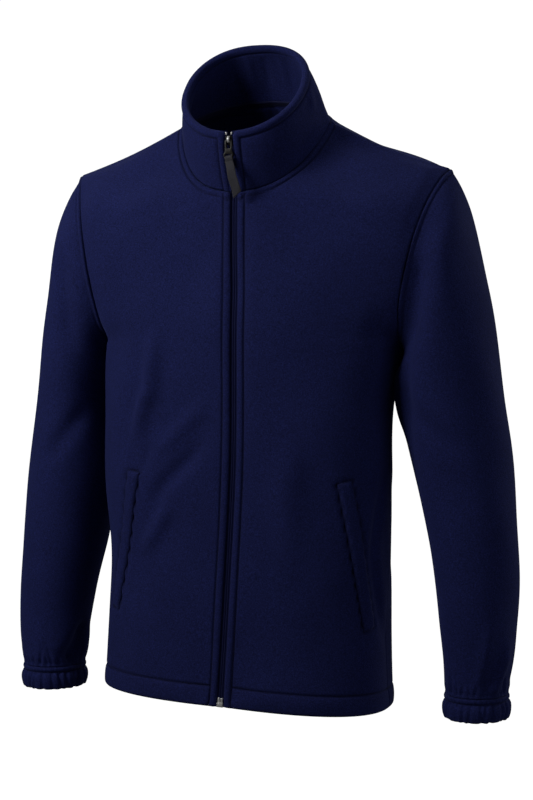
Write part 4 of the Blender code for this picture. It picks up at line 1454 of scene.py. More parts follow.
@dataclass(frozen=True)
class ZipTape:
    """One half of the zip: woven tape that wraps the coil and runs on behind the folded edge."""

    side: Side

    def build(self) -> Item:
        """The finished tape."""
        levels = np.linspace(0.0, 2.0, 236)[:-1]
        edge, across, normal = zip_edges(self.side, levels, even_shares(30))
        meeting = np.full(len(edge), FORM.half_slot - ZIP.meeting)
        meeting[-4:] -= ZIP.rim_opening * even_shares(4)
        level = normal * np.array([0.0, 1.0, 1.0])
        level = unit(level)
        reach = TAPE_STEPS
        beyond = np.linspace(0.0, ZIP.lap, 6)[1:]
        sideways = self.side.value * np.array([1.0, 0.0, 0.0])
        inner = [edge - (meeting * (1.0 - step / reach[-1]))[:, None] * sideways for step in reach]
        outer = [edge + across * step for step in beyond]
        base = np.stack(inner + outer, axis=1)
        blend = np.concatenate([reach / reach[-1], np.ones(len(beyond))])[None, :, None]
        normals = level[:, None, :] * (1.0 - blend) + normal[:, None, :] * blend
        places = np.concatenate([reach, reach[-1] + beyond])
        rise = ZIP.rib * bell(places - ZIP.rib_place, ZIP.rib_width) - 0.0003 * bell(places, 0.0003)
        upper = base + normals * (ZIP.tape_front + rise)[None, :, None]
        lower = base + normals * (ZIP.tape_front - ZIP.tape - 0.4 * rise)[None, :, None]
        return wall_mesh(f"zip_tape_{self.side.label}_woven", [(lower, upper)])


def soften(shape: Shape, edges: Sequence[bmesh.types.BMEdge], bevel: float, steps: int) -> None:
    """Round some edges of a shape in a few steps."""
    bmesh.ops.bevel(shape, geom=edges, offset=bevel, offset_type="OFFSET", segments=steps, profile=0.5,
                    affect="EDGES", material=-1, clamp_overlap=True)


def set_in_place(name: str, shape: Shape, where: Matrix, crease: float = 40.0) -> Item:
    """Move a shape from its own frame to where it belongs, and finish it."""
    bmesh.ops.transform(shape, matrix=where, verts=shape.verts)
    return finished(name, shape, crease)


def outline_plate(outline: Sequence[Point], holes: Sequence[Sequence[Point]],
                  low: float, high: float, bevel: float) -> Shape:
    """A flat plate with holes and softened edges, in its own frame.

    Args:
        outline: corners of its outline, as (across, up).
        holes: corners of each hole.
        low: the height of its back.
        high: the height of its face.
        bevel: how far its edges are softened.

    Returns:
        The plate.
    """
    plate = bmesh.new()
    for loop in (outline, *holes):
        ring = [plate.verts.new((x, y, low)) for x, y in loop]
        for number, vert in enumerate(ring):
            plate.edges.new((ring[number - 1], vert))
    bmesh.ops.triangle_fill(plate, use_beauty=True, edges=plate.edges[:], normal=(0.0, 0.0, 1.0))
    made = bmesh.ops.extrude_face_region(plate, geom=plate.faces[:], use_keep_orig=True)
    bmesh.ops.translate(plate, verts=moved_verts(made), vec=(0.0, 0.0, high - low))
    bmesh.ops.recalc_face_normals(plate, faces=plate.faces)
    rims = [edge for edge in plate.edges if edge.is_manifold and edge.calc_face_angle() > math.radians(60.0)]
    soften(plate, rims, bevel, 2)
    return plate


def oval(half_width: float, half_height: float, middle: Point, corners: int = 24,
         power: float = 2.0) -> list[Point]:
    """Corners of an oval, squarer with a higher power."""
    angles = [2.0 * math.pi * number / corners for number in range(corners)]
    rounder = 2.0 / power
    return [(middle[0] + half_width * math.copysign(abs(math.cos(turn)) ** rounder, math.cos(turn)),
             middle[1] + half_height * math.copysign(abs(math.sin(turn)) ** rounder, math.sin(turn)))
            for turn in angles]


def block(size: tuple[float, float, float], middle: tuple[float, float, float], bevel: float,
          shape: Shape | None = None) -> Shape:
    """A block with softened edges, added to a shape if one is given."""
    shape = shape or bmesh.new()
    matrix = Matrix.Translation(middle) @ Matrix.Diagonal((*size, 1.0))
    made = bmesh.ops.create_cube(shape, size=1.0, matrix=matrix)
    edges = list({edge for vert in made["verts"] for edge in vert.link_edges})
    soften(shape, edges, bevel, 3)
    return shape


@dataclass(frozen=True)
class Slider:
    """The zip's slider: a shield-shaped face plate, a rear plate and a bright bridge.

    Attributes:
        half_width: half its width at the shoulders.
        foot_half_width: half its width at the foot.
        half_length: half its length.
        plate: the thickness of each plate.
        neck_half_width: half the width of the wedge between the plates.
        bridge_half_width: half the width of the bridge.
        bridge_half_length: half the bridge's length.
        bridge_rise: how far its middle lies above the slider's middle.
        bridge_wire: half the thickness of the bridge.
        bridge_height: how high it arches over the face plate.
    """

    half_width: float = 0.0042
    foot_half_width: float = 0.0033
    half_length: float = 0.0057
    plate: float = 0.0014
    neck_half_width: float = 0.0006
    bridge_half_width: float = 0.0015
    bridge_half_length: float = 0.0033
    bridge_rise: float = 0.0009
    bridge_wire: float = 0.0006
    bridge_height: float = 0.0031

    @property
    def front_low(self) -> float:
        """The height of the back of the face plate."""
        return ZIP.tape_front + ZIP.rib + 0.0001

    def body(self) -> Item:
        """The two plates and the wedge between them."""
        wide, slim, half = self.half_width, self.foot_half_width, self.half_length
        outline = [(slim, -half), (slim + 0.0002, -half * 0.4), (wide, half * 0.35), (wide, half * 0.75),
                   (wide * 0.55, half), (0.0, half * 0.86), (-wide * 0.55, half), (-wide, half * 0.75),
                   (-wide, half * 0.35), (-slim - 0.0002, -half * 0.4), (-slim, -half)]
        shape = outline_plate(outline, [], self.front_low, self.front_low + self.plate, 0.00045)
        block((2.0 * self.neck_half_width, 0.0030, 0.0030),
              (0.0, half - 0.0024, self.front_low - 0.0008), 0.0001, shape)
        rear = ZIP.tape_front - ZIP.tape - ZIP.rib - self.plate
        block((2.0 * slim, 2.0 * half, self.plate), (0.0, 0.0, rear + self.plate / 2.0), 0.0004, shape)
        return set_in_place("slider_body", shape, zip_frame(True, ZIP.slider_drop))

    def bridge(self) -> Item:
        """The arch over the bar of the pull tab."""
        top = self.front_low + self.plate
        path = [(self.bridge_rise + math.cos(turn) * self.bridge_half_length,
                 top - 0.0002 + math.sin(turn) * self.bridge_height)
                for turn in np.linspace(0.0, math.pi, 15)]
        hoop = bmesh.new()
        wire, wide = self.bridge_wire, self.bridge_half_width
        profile = [hoop.verts.new((x, path[0][0] + y, path[0][1])) for x, y in
                   oval(wide, wire, (0.0, 0.0), 12, 3.0)]
        ring = [hoop.edges.new((profile[number - 1], vert)) for number, vert in enumerate(profile)]
        bmesh.ops.edgeloop_fill(hoop, edges=ring)
        loop = ring
        for (y0, z0), (y1, z1) in zip(path[:-1], path[1:]):
            made = bmesh.ops.extrude_edge_only(hoop, edges=loop)
            verts = moved_verts(made)
            loop = [item for item in made["geom"] if isinstance(item, bmesh.types.BMEdge)
                    and all(vert in verts for vert in item.verts)]
            bmesh.ops.translate(hoop, verts=verts, vec=(0.0, y1 - y0, z1 - z0))
            bmesh.ops.rotate(hoop, verts=verts, cent=(0.0, y1, z1),
                             matrix=Matrix.Rotation(math.pi / (len(path) - 1), 3, "X"))
        bmesh.ops.edgeloop_fill(hoop, edges=loop)
        bmesh.ops.recalc_face_normals(hoop, faces=hoop.faces)
        return set_in_place("slider_arch", hoop, zip_frame(True, ZIP.slider_drop), 60.0)


@dataclass(frozen=True)
class PullTab:
    """The pull tab: a flat plate with a window for the bridge and an eye for the ribbon.

    Attributes:
        pivot: the middle of its hinge.
        thickness: its thickness.
        half_width: half its width at the top.
        waist: half its width below the window.
        eye_half_width: half its width round the eye.
        length: from the hinge to its foot.
        window: half the width of its window.
        eye: half the width of its eye.
    """

    pivot: Vector
    thickness: float = 0.0014
    half_width: float = 0.0045
    waist: float = 0.0041
    eye_half_width: float = 0.0061
    length: float = 0.0208
    window: float = 0.0023
    eye: float = 0.0046

    def build(self) -> Item:
        """The finished tab, hanging straight down from its hinge."""
        top, foot, wide, waist, eye = 0.0006, -self.length, self.half_width, self.waist, self.eye_half_width
        right = [(wide * 0.72, top), (wide, top - 0.0007), (wide, -0.0092), (waist, -0.0112),
                 (waist + 0.0004, -0.0128), (eye * 0.94, -0.0150), (eye, -0.0168),
                 (eye * 0.95, foot + 0.0018), (eye * 0.78, foot + 0.0005), (eye * 0.45, foot)]
        outline = right + [(-x, y) for x, y in reversed(right)]
        holes = [oval(self.window, 0.0037, (0.0, -0.0054), 24, 4.0),
                 oval(self.eye, 0.0019, (0.0, -0.0176), 28, 2.8)]
        shape = outline_plate(outline, holes, -self.thickness / 2.0, self.thickness / 2.0, 0.0004)
        return set_in_place("pull_tab_plate", shape, hanging_frame(self.pivot))


TAB_BAR_HALF = 0.0007


def hanging_frame(pivot: Vector) -> Matrix:
    """Frame of a plate that hangs from a pivot and faces forwards."""
    return Matrix.Translation(pivot) @ Matrix.Rotation(math.pi / 2.0, 4, "X")


class Bend(NamedTuple):
    """A place on the ribbon's middle line, from the pivot."""

    along: float
    side: float
    forward: float
    down: float


RIBBON_STEPS = np.array([0.0, 0.0002, 0.0005, 0.0009])


@dataclass(frozen=True)
class PullRibbon:
    """The woven ribbon: looped through the tab's eye, sewn, and hanging in a slight curve.

    Attributes:
        pivot: the middle of the tab's hinge.
        half_width: half its width.
        thickness: the thickness of its front, which is two layers sewn together.
        slant: how much longer its left edge is than its right, from its slanting cut.
        fold: the share of its length that is folded over the eye and sewn down.
        fold_swell: how much thicker that fold is, as a share of its thickness.
        squeeze: how much narrower it is drawn inside the eye, as a share of its width.
        front: its middle line in front, from inside the eye to its end.
        rear: its middle line behind, from inside the eye to where the layers join.
    """

    pivot: Vector
    half_width: float = 0.0050
    thickness: float = 0.0014
    slant: float = 0.0065
    fold: float = 0.20
    fold_swell: float = 0.30
    squeeze: float = 0.12
    front: tuple[Bend, ...] = (
        Bend(0.00, 0.0000, -0.0004, 0.0184), Bend(0.05, 0.0002, 0.0012, 0.0186),
        Bend(0.09, 0.0005, 0.0019, 0.0198), Bend(0.15, 0.0010, 0.0016, 0.0218),
        Bend(0.26, 0.0018, 0.0012, 0.0262), Bend(0.42, 0.0038, 0.0022, 0.0334),
        Bend(0.60, 0.0054, 0.0025, 0.0412), Bend(0.80, 0.0082, 0.0010, 0.0500),
        Bend(1.00, 0.0104, -0.0014, 0.0590),
    )
    rear: tuple[Bend, ...] = (
        Bend(0.00, 0.0000, -0.0002, 0.0184), Bend(0.20, 0.0000, -0.0016, 0.0186),
        Bend(0.45, 0.0000, -0.0021, 0.0202), Bend(0.75, 0.0001, -0.0012, 0.0228),
        Bend(1.00, 0.0004, 0.0004, 0.0255),
    )

    def strip(self, bends: Sequence[Bend], rows: int, thickness: float, slant: float) -> tuple[Grid, Grid]:
        """The two faces of one strip of the ribbon."""
        places = even_shares(rows)
        middle = smooth_line(bends, places)
        across = edge_steps(2.0 * self.half_width, RIBBON_STEPS, RIBBON_STEPS, 8) - self.half_width
        lean = np.gradient(middle[:, 0]) / np.maximum(np.gradient(middle[:, 2]), 0.0003)
        lean = np.clip(lean, -0.5, 0.5)[:, None]
        cut = slant * (0.5 - across / self.half_width / 2.0)[None, :] * (places[:, None] ** 3)
        drawn_in = 1.0 - self.squeeze * ease(1.0 - places / 0.12)[:, None]
        x = middle[:, :1] + across[None, :] * drawn_in
        z = -middle[:, 2:3] + lean * across[None, :] * 0.9 - cut
        y = -middle[:, 1:2] - 0.0006 * np.sin(9.0 * places)[:, None] * (across / self.half_width)[None, :]
        points = np.stack([x, y, z], axis=-1)
        outward = outward_normals(points, False, np.array([0.0, 0.004, -0.06]))
        edge = np.minimum(self.half_width - np.abs(across), 0.02)[None, :]
        ends = np.minimum(places, 1.0 - places)[:, None] * run_along(middle)[-1] + 0.0002
        turned = np.clip(np.minimum(edge, ends) / 0.0007, 0.0, 1.0)
        sewn = self.fold_swell * ease((self.fold - places) / 0.025) - 0.45 * bell(places - self.fold, 0.014)
        thick = thickness / 2.0 * (1.0 + sewn[:, None, None])
        half = thick * np.maximum(np.sqrt(1.0 - (1.0 - turned) ** 2), 0.2)[:, :, None]
        points = points + np.array(self.pivot)
        return points - outward * half, points + outward * half

    def build(self) -> Item:
        """The finished ribbon."""
        front = self.strip(self.front, 64, self.thickness, self.slant)
        return wall_mesh("pull_ribbon_front", [front])

    def build_rear(self) -> Item:
        """The short end behind the tab."""
        return wall_mesh("pull_ribbon_rear", [self.strip(self.rear, 20, 0.0011, 0.0)])


@dataclass(frozen=True)
class ZipEnds:
    """The bright stops at the top of the zip and the box at its foot.

    Attributes:
        stop_drop: how far the stops lie below the rim.
    """

    stop_drop: float = 0.0026

    def stop(self, side: Side) -> Item:
        """One of the two clamped stops above the slider."""
        shape = block((0.0019, 0.0030, 0.0017), (side.value * 0.0033, 0.0, ZIP.tape_front + 0.0008), 0.0004)
        return set_in_place(f"top_stop_{side.label}_clamp", shape, zip_frame(True, self.stop_drop))

    def box(self) -> Item:
        """The box and the two pins that stand in it."""
        low = ZIP.tape_front + 0.0003
        shape = block((0.0074, 0.0056, 0.0024), (0.0, 0.0028, low + 0.0012), 0.0005)
        for across, width, height in ((-0.0019, 0.0024, 0.0064), (0.0018, 0.0026, 0.0058)):
            block((width, height, 0.0019), (across, 0.0050 + height / 2.0, low + 0.0010), 0.0004, shape)
        block((0.0076, 0.0010, 0.0026), (0.0, 0.0049, low + 0.0013), 0.0003, shape)
        return set_in_place("zip_box_cast", shape, zip_frame(False, 0.0))


# ---------------------------------------------------------------- finishes

def fill(node: bpy.types.Node, **values: float | tuple[float, ...]) -> None:
    """Set constants on a node's inputs, with underscores for spaces."""
    for name, value in values.items():
        node.inputs[name.replace("_", " ")].default_value = value


class NodeBench:
    """Lays out the nodes of one material round its principled shader."""

    def __init__(self, name: str) -> None:
        """Start a material with a principled shader on object coordinates."""
        self.material = bpy.data.materials.new(name)
        self.material.use_nodes = True
        self.tree = self.material.node_tree
        self.shader = self.tree.nodes["Principled BSDF"]
        self.place = self.tree.nodes.new("ShaderNodeTexCoord").outputs["Object"]

    def set(self, **values: float | tuple[float, ...]) -> None:
        """Set constants on the shader's own sockets, with underscores for spaces."""
        fill(self.shader, **values)

    def add(self, kind: str, links: dict[str, Socket],
            **values: float | tuple[float, ...]) -> bpy.types.Node:
        """A new node with some inputs joined to other nodes and some set to constants."""
        node = self.tree.nodes.new(f"ShaderNode{kind}")
        fill(node, **values)
        for name, socket in links.items():
            self.tree.links.new(socket, node.inputs[name])
        return node

    def noise(self, scale: float, detail: float = 2.0, roughness: float = 0.5,
              stretch: tuple[float, float, float] = (1.0, 1.0, 1.0)) -> Socket:
        """A noise value; the stretch multiplies the place on each axis."""
        mapping = self.add("Mapping", {"Vector": self.place}, Scale=stretch)
        node = self.add("TexNoise", {"Vector": mapping.outputs["Vector"]}, Scale=scale, Detail=detail,
                        Roughness=roughness)
        return node.outputs["Fac"]

    def attribute(self, name: str) -> Socket:
        """A value stored on the piece's points."""
        node = self.add("Attribute", {})
        node.attribute_name = name
        return node.outputs["Fac"]

    def ribs(self, period: float, axis: str, distortion: float = 0.4) -> Socket:
        """Even ribs across an axis, a period apart."""
        node = self.add("TexWave", {"Vector": self.place}, Scale=2.0 * math.pi / (20.0 * period),
                        Distortion=distortion, Detail=1.0, Detail_Scale=1.5)
        node.bands_direction = axis
        return node.outputs["Fac"]

    def shades(self, value: Socket,
               stops: Sequence[tuple[float, tuple[float, float, float]]]) -> Socket:
        """A colour read from a value through a ramp of stops."""
        node = self.add("ValToRGB", {"Fac": value})
        ramp = node.color_ramp
        for number, (place, colour) in enumerate(stops):
            element = ramp.elements[number] if number < 2 else ramp.elements.new(place)
            element.position = place
            element.color = (*colour, 1.0)
        return node.outputs["Color"]

    def blend(self, kind: str, share: float, first: Socket,
              second: Socket) -> Socket:
        """Two colours mixed in one of the usual ways."""
        node = self.tree.nodes.new("ShaderNodeMix")
        node.data_type = "RGBA"
        node.blend_type = kind
        node.inputs["Factor"].default_value = share
        self.tree.links.new(first, node.inputs["A"])
        self.tree.links.new(second, node.inputs["B"])
        return node.outputs["Result"]

    def bump(self, height: Socket, strength: float, distance: float,
             under: Socket | None = None) -> Socket:
        """A bump on the surface, over another one if one is given."""
        links = {"Height": height} if under is None else {"Height": height, "Normal": under}
        return self.add("Bump", links, Strength=strength, Distance=distance).outputs["Normal"]

    def finish(self, colour: Socket, normal: Socket,
               roughness: Socket | None = None) -> bpy.types.Material:
        """Join the colour and the bump to the shader."""
        self.tree.links.new(colour, self.shader.inputs["Base Color"])
        self.tree.links.new(normal, self.shader.inputs["Normal"])
        if roughness is not None:
            self.tree.links.new(roughness, self.shader.inputs["Roughness"])
        return self.material



def shade(colour: Colour, times: float) -> Colour:
    """A colour made lighter or darker."""
    return tuple(min(1.0, channel * times) for channel in colour)


@dataclass(frozen=True)
class FleeceFinish:
    """Brushed fleece: a short matted nap with a soft sheen.

    Attributes:
        name: the material's name.
        colour: its middle colour.
        sheen: how much the nap catches light at its edges.
        nap: how strongly the nap's small tufts stand up.
    """

    name: str
    colour: Colour
    sheen: float = 0.10
    nap: float = 0.60

    def make(self) -> bpy.types.Material:
        """The material."""
        bench = NodeBench(self.name)
        tufts = bench.noise(660.0, 3.0, 0.6)
        broad = bench.noise(16.0, 2.0, 0.5)
        matted = bench.shades(tufts, [(0.30, shade(self.colour, 0.50)), (0.52, self.colour),
                                      (0.72, shade(self.colour, 1.65))])
        drift = bench.shades(broad, [(0.35, (0.90, 0.90, 0.92)), (0.65, (1.0, 1.0, 1.0))])
        # painted shade: darkens the colour along seams and stitching, down to a fifth, from the cloth's
        # stored shade values
        seams = bench.shades(bench.attribute("painted_shade"), [(0.0, (1.0, 1.0, 1.0)), (1.0, (0.20, 0.20, 0.24))])
        colour = bench.blend("MULTIPLY", 1.0, bench.blend("MULTIPLY", 1.0, matted, drift), seams)
        fibres = bench.noise(1500.0, 2.0, 0.6)
        lumps = bench.bump(tufts, self.nap, 0.0007)
        normal = bench.bump(fibres, 0.35, 0.00025, lumps)
        bench.set(Roughness=0.92, Sheen_Weight=self.sheen, Sheen_Roughness=0.45,
                  Sheen_Tint=(0.25, 0.33, 1.0, 1.0), Specular_IOR_Level=0.18)
        return bench.finish(colour, normal)


@dataclass(frozen=True)
class WovenFinish:
    """A woven strip with ribs across it.

    Attributes:
        name: the material's name.
        colour: its middle colour.
        period: the distance from rib to rib.
        roughness: how matt it is.
        relief: how deep the ribs are.
        sheen: how much its fibres catch light at its edges.
        gloss: the strength of its clear reflection.
    """

    name: str
    colour: Colour
    period: float
    roughness: float = 0.7
    relief: float = 0.00012
    sheen: float = 0.05
    gloss: float = 0.25

    def make(self) -> bpy.types.Material:
        """The material."""
        bench = NodeBench(self.name)
        ribs = bench.ribs(self.period, "Z", 0.25)
        yarn = bench.noise(900.0, 3.0, 0.6, (1.0, 1.0, 0.35))
        striped = bench.shades(ribs, [(0.15, shade(self.colour, 0.62)), (0.85, shade(self.colour, 1.25))])
        flecked = bench.shades(yarn, [(0.32, (0.72, 0.72, 0.72)), (0.68, (1.0, 1.0, 1.0))])
        colour = bench.blend("MULTIPLY", 1.0, striped, flecked)
        normal = bench.bump(yarn, 0.3, 0.0001, bench.bump(ribs, 0.8, self.relief))
        bench.set(Roughness=self.roughness, Sheen_Weight=self.sheen, Specular_IOR_Level=self.gloss)
        return bench.finish(colour, normal)


@dataclass(frozen=True)
class MetalFinish:
    """Cast metal, bare or enamelled, with faint wear in its gloss.

    Attributes:
        name: the material's name.
        colour: its colour.
        metallic: 1 for bare metal.
        smooth: its roughness where it is smoothest.
        rough: its roughness where it is dullest.
        gloss: the strength of its clear reflection.
    """

    name: str
    colour: Colour
    metallic: float
    smooth: float
    rough: float
    gloss: float = 0.5

    def make(self) -> bpy.types.Material:
        """The material."""
        bench = NodeBench(self.name)
        grain = bench.noise(700.0, 3.0, 0.55)
        wear = bench.noise(180.0, 4.0, 0.6)
        colour = bench.shades(grain, [(0.3, shade(self.colour, 0.82)), (0.7, shade(self.colour, 1.1))])
        dullness = bench.shades(wear, [(0.35, (self.smooth,) * 3), (0.7, (self.rough,) * 3)])
        normal = bench.bump(grain, 0.25, 0.00004)
        bench.set(Metallic=self.metallic, Specular_IOR_Level=self.gloss)
        return bench.finish(colour, normal, dullness)


FLEECE = FleeceFinish("navy_fleece", (0.0116, 0.0168, 0.098))
FLEECE_STRIP = WovenFinish("navy_neck_tape", (0.0115, 0.0160, 0.090), 0.0009)
ZIP_CLOTH = WovenFinish("navy_zip_tape", (0.0088, 0.0122, 0.072), 0.0008, 0.75, 0.00012, 0.02, 0.12)
GREY_RIBBON = WovenFinish("grey_ribbon", (0.044, 0.043, 0.056), 0.0010, 0.62, 0.0002, 0.12)
THREAD = WovenFinish("navy_thread", (0.0070, 0.0095, 0.056), 0.0004, 0.8, 0.00012, 0.0)
BLACK_ENAMEL = MetalFinish("black_enamel", (0.0120, 0.0110, 0.0105), 0.0, 0.38, 0.52, 0.3)
BRIGHT_METAL = MetalFinish("bright_metal", (0.85, 0.85, 0.84), 0.6, 0.32, 0.48)


# ---------------------------------------------------------------- studio and assembly

WHITE = (1.0, 1.0, 1.0, 1.0)
LIGHTS = (
    ("key", (-0.85, -0.95, 0.42), 0.50, 9.6),
    ("fill", (2.2, -1.1, 0.35), 1.4, 6.5),
    ("top", (0.0, 0.3, 1.9), 1.4, 5.2),
    ("rear_left", (1.6, 1.7, 0.3), 1.2, 6.0),
    ("rear_right", (-1.2, 2.2, 0.6), 1.4, 9.0),
)


@dataclass(frozen=True)
class Studio:
    """A plain pale floor, soft studio light and the camera.

    Attributes:
        turn: how far round to the wearer's left the camera stands, in degrees.
        distance: the camera's distance from the jacket's middle.
        height: the camera's height.
        lens: its focal length on a 36 mm tall frame.
        tip: how far it looks down, in degrees.
        swing: how far it looks to its left of the jacket's middle line, in degrees.
        floor: the height of the floor.
    """

    turn: float = 20.0
    distance: float = 2.335
    height: float = -0.187
    lens: float = 86.85
    tip: float = 3.706
    swing: float = -0.193
    floor: float = -1.60

    def set_up(self) -> None:
        """Build the floor, the lights and the camera."""
        self.lay_floor()
        for name, place, size, power in LIGHTS:
            self.light(name, place, size, power)
        self.surround()
        turn = math.radians(self.turn)
        data = bpy.data.cameras.new("camera")
        data.sensor_fit, data.sensor_height, data.lens = "VERTICAL", 36.0, self.lens
        data.clip_end = 60.0
        camera = bpy.data.objects.new("camera", data)
        camera.location = (math.sin(turn) * self.distance, -math.cos(turn) * self.distance, self.height)
        camera.rotation_euler = (math.pi / 2.0 - math.radians(self.tip), 0.0, turn + math.radians(self.swing))
        bpy.context.scene.collection.objects.link(camera)
        bpy.context.scene.camera = camera
        bpy.context.scene.view_settings.view_transform = "Standard"

    def lay_floor(self) -> None:
        """A wide pale floor, well below the jacket, that throws no light back up at it."""
        shape = bmesh.new()
        bmesh.ops.create_grid(shape, x_segments=1, y_segments=1, size=14.0,
                              matrix=Matrix.Translation((0.0, 0.0, self.floor)))
        floor = finished("floor", shape)
        material = bpy.data.materials.new("pale_floor")
        material.use_nodes = True
        fill(material.node_tree.nodes["Principled BSDF"], Base_Color=(0.85, 0.85, 0.85, 1.0), Roughness=1.0,
             Specular_IOR_Level=0.0, Emission_Color=WHITE, Emission_Strength=1.0)
        floor.data.materials.append(material)
        floor.visible_diffuse = False
        floor.visible_glossy = False

    def light(self, name: str, place: tuple[float, float, float], size: float, power: float) -> None:
        """A soft square light that looks at the jacket's chest."""
        data = bpy.data.lights.new(name, "AREA")
        data.shape, data.size, data.energy = "SQUARE", size, power
        item = bpy.data.objects.new(name, data)
        item.location = place
        item.rotation_euler = (Vector((0.0, 0.0, -0.3)) - Vector(place)).to_track_quat("-Z", "Y").to_euler()
        bpy.context.scene.collection.objects.link(item)

    @staticmethod
    def surround() -> None:
        """White surroundings that light the jacket only faintly."""
        world = bpy.data.worlds.new("studio")
        world.use_nodes = True
        tree = world.node_tree
        seen, light = tree.nodes["Background"], tree.nodes.new("ShaderNodeBackground")
        fill(seen, Color=WHITE, Strength=1.05)
        fill(light, Color=WHITE, Strength=0.045)
        path = tree.nodes.new("ShaderNodeLightPath")
        mix = tree.nodes.new("ShaderNodeMixShader")
        tree.links.new(path.outputs["Is Camera Ray"], mix.inputs["Fac"])
        tree.links.new(light.outputs["Background"], mix.inputs[1])
        tree.links.new(seen.outputs["Background"], mix.inputs[2])
        tree.links.new(mix.outputs["Shader"], tree.nodes["World Output"].inputs["Surface"])
        bpy.context.scene.world = world


@dataclass
class Jacket:
    """The whole jacket: every piece, its finish, and what it rides on and stands for."""

    sway: Sway = Sway()
    thread: Thread = Thread()
    finishes: dict[str, bpy.types.Material] = field(default_factory=dict)

    def dress(self, item: Item, finish: FleeceFinish | WovenFinish | MetalFinish,
              nodes: Sequence[str] = (), body: Body = Body.JACKET) -> Item:
        """Give a piece its finish and its body, and hide the frame's nodes that it stands for."""
        if finish.name not in self.finishes:
            self.finishes[finish.name] = finish.make()
        item.data.materials.append(self.finishes[finish.name])
        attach(item, body.value)
        if nodes:
            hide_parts(*nodes)
        area = sum(face.area for face in item.data.polygons) / 2.0
        LOG.info("%s: %d faces, cloth %.4f m2", item.name, len(item.data.polygons), area)
        return item

    def cut(self, name: str, sheets: Sequence[SoftSheet], nodes: Sequence[str]) -> Item:
        """Make one piece of fleece from its finished sheets."""
        piece = wall_mesh(name, [sheet.faces() for sheet in sheets], [sheet.painted_shade for sheet in sheets])
        return self.dress(piece, FLEECE, nodes)

    def sew(self, name: str, cloth: Item, lines: Sequence[Grid]) -> None:
        """Add the rows of stitches on one piece."""
        self.dress(self.thread.sew(name, cloth, lines), THREAD)

    def make_fronts(self, folds: dict[Side, tuple[Fold, ...]], welts: dict[Side, PocketWelt]) -> None:
        """Both fronts and their pockets."""
        for side in Side:
            front = FrontPanel(side, folds[side])
            front.lay_out(self.sway)
            welt = welts[side]
            welt.sink_front(front)
            welt.lay_out(front)
            cloth = self.cut(f"front_{side.label}_cloth", [front.sheet],
                             [f"front_{side.label}", f"hem_{side.label}"])
            strip = self.cut(f"welt_{side.label}_cloth", [welt.sheet], [f"pocket_welt_{side.label}"])
            self.sew(f"front_{side.label}_stitching", cloth, front.stitch_lines())
            self.sew(f"welt_{side.label}_stitching", strip, welt.stitch_lines())

    def make_back(self, folds: dict[Side, tuple[Fold, ...]]) -> None:
        """The back of the body."""
        back = BackPanel(folds)
        back.lay_out(self.sway)
        cloth = self.cut("back_cloth", list(back.halves.values()), ["back", "hem_back"])
        self.sew("back_stitching", cloth, back.stitch_lines())

    def make_sleeves(self, folds: dict[Side, tuple[Fold, ...]]) -> None:
        """Both sleeves and their cuffs."""
        for number, side in enumerate(Side):
            sleeve = Sleeve(side, folds[side], Gathers(28, 0.0031, 0.0021, (0.012, 0.042), 11 + number))
            sleeve.lay_out(self.sway)
            cuff = Cuff(side, Gathers(26, 0.0027, 0.0020, (0.030, 0.060), 21 + number),
                        Gathers(44, 0.0008, 0.0012, (0.01, 0.02), 31 + number))
            cuff.lay_out(sleeve.half_columns)
            arm = self.cut(f"sleeve_{side.label}_cloth", [sleeve.sheet], [f"sleeve_{side.label}"])
            band = self.cut(f"cuff_{side.label}_cloth", [cuff.sheet], [f"cuff_{side.label}"])
            self.sew(f"sleeve_{side.label}_stitching", arm, sleeve.stitch_lines())
            self.sew(f"cuff_{side.label}_stitching", band, cuff.stitch_lines())

    def make_collar(self, folds: tuple[Fold, ...]) -> None:
        """The collar and the tape inside its foot."""
        collar = Collar(folds)
        collar.lay_out(self.sway)
        cloth = self.cut("collar_cloth", [collar.sheet], ["collar_outer", "collar_inner"])
        self.sew("collar_stitching", cloth, collar.stitch_lines())
        band = collar.inner_band(height=0.0085, start=0.27, end=0.73, gap=0.0003, thickness=0.0010)
        tape = self.dress(wall_mesh("neck_tape_woven", [band.faces()]), FLEECE_STRIP,
                          ["neck_tape"])

    def make_zip(self) -> None:
        """The zip, its slider, its pull and its ends."""
        for side in Side:
            tape = self.dress(ZipTape(side).build(), ZIP_CLOTH, [f"zip_tape_{side.label}"])
        slider = Slider()
        self.dress(slider.body(), BLACK_ENAMEL, ["zip_slider"])
        self.dress(slider.bridge(), BRIGHT_METAL, ["slider_bridge"])
        low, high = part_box("pull_tab")
        pivot = Vector(((low.x + high.x) / 2.0, (low.y + high.y) / 2.0, high.z - TAB_BAR_HALF))
        self.dress(PullTab(pivot).build(), BLACK_ENAMEL, ["pull_tab"], Body.PULL)
        ribbon = PullRibbon(pivot)
        front = self.dress(ribbon.build(), GREY_RIBBON, ["pull_ribbon"], Body.PULL)
        rear = self.dress(ribbon.build_rear(), GREY_RIBBON, (), Body.PULL)
        ends = ZipEnds()
        for side in Side:
            self.dress(ends.stop(side), BRIGHT_METAL, [f"top_stop_{side.label}"])
        self.dress(ends.box(), BRIGHT_METAL, ["zip_box"])


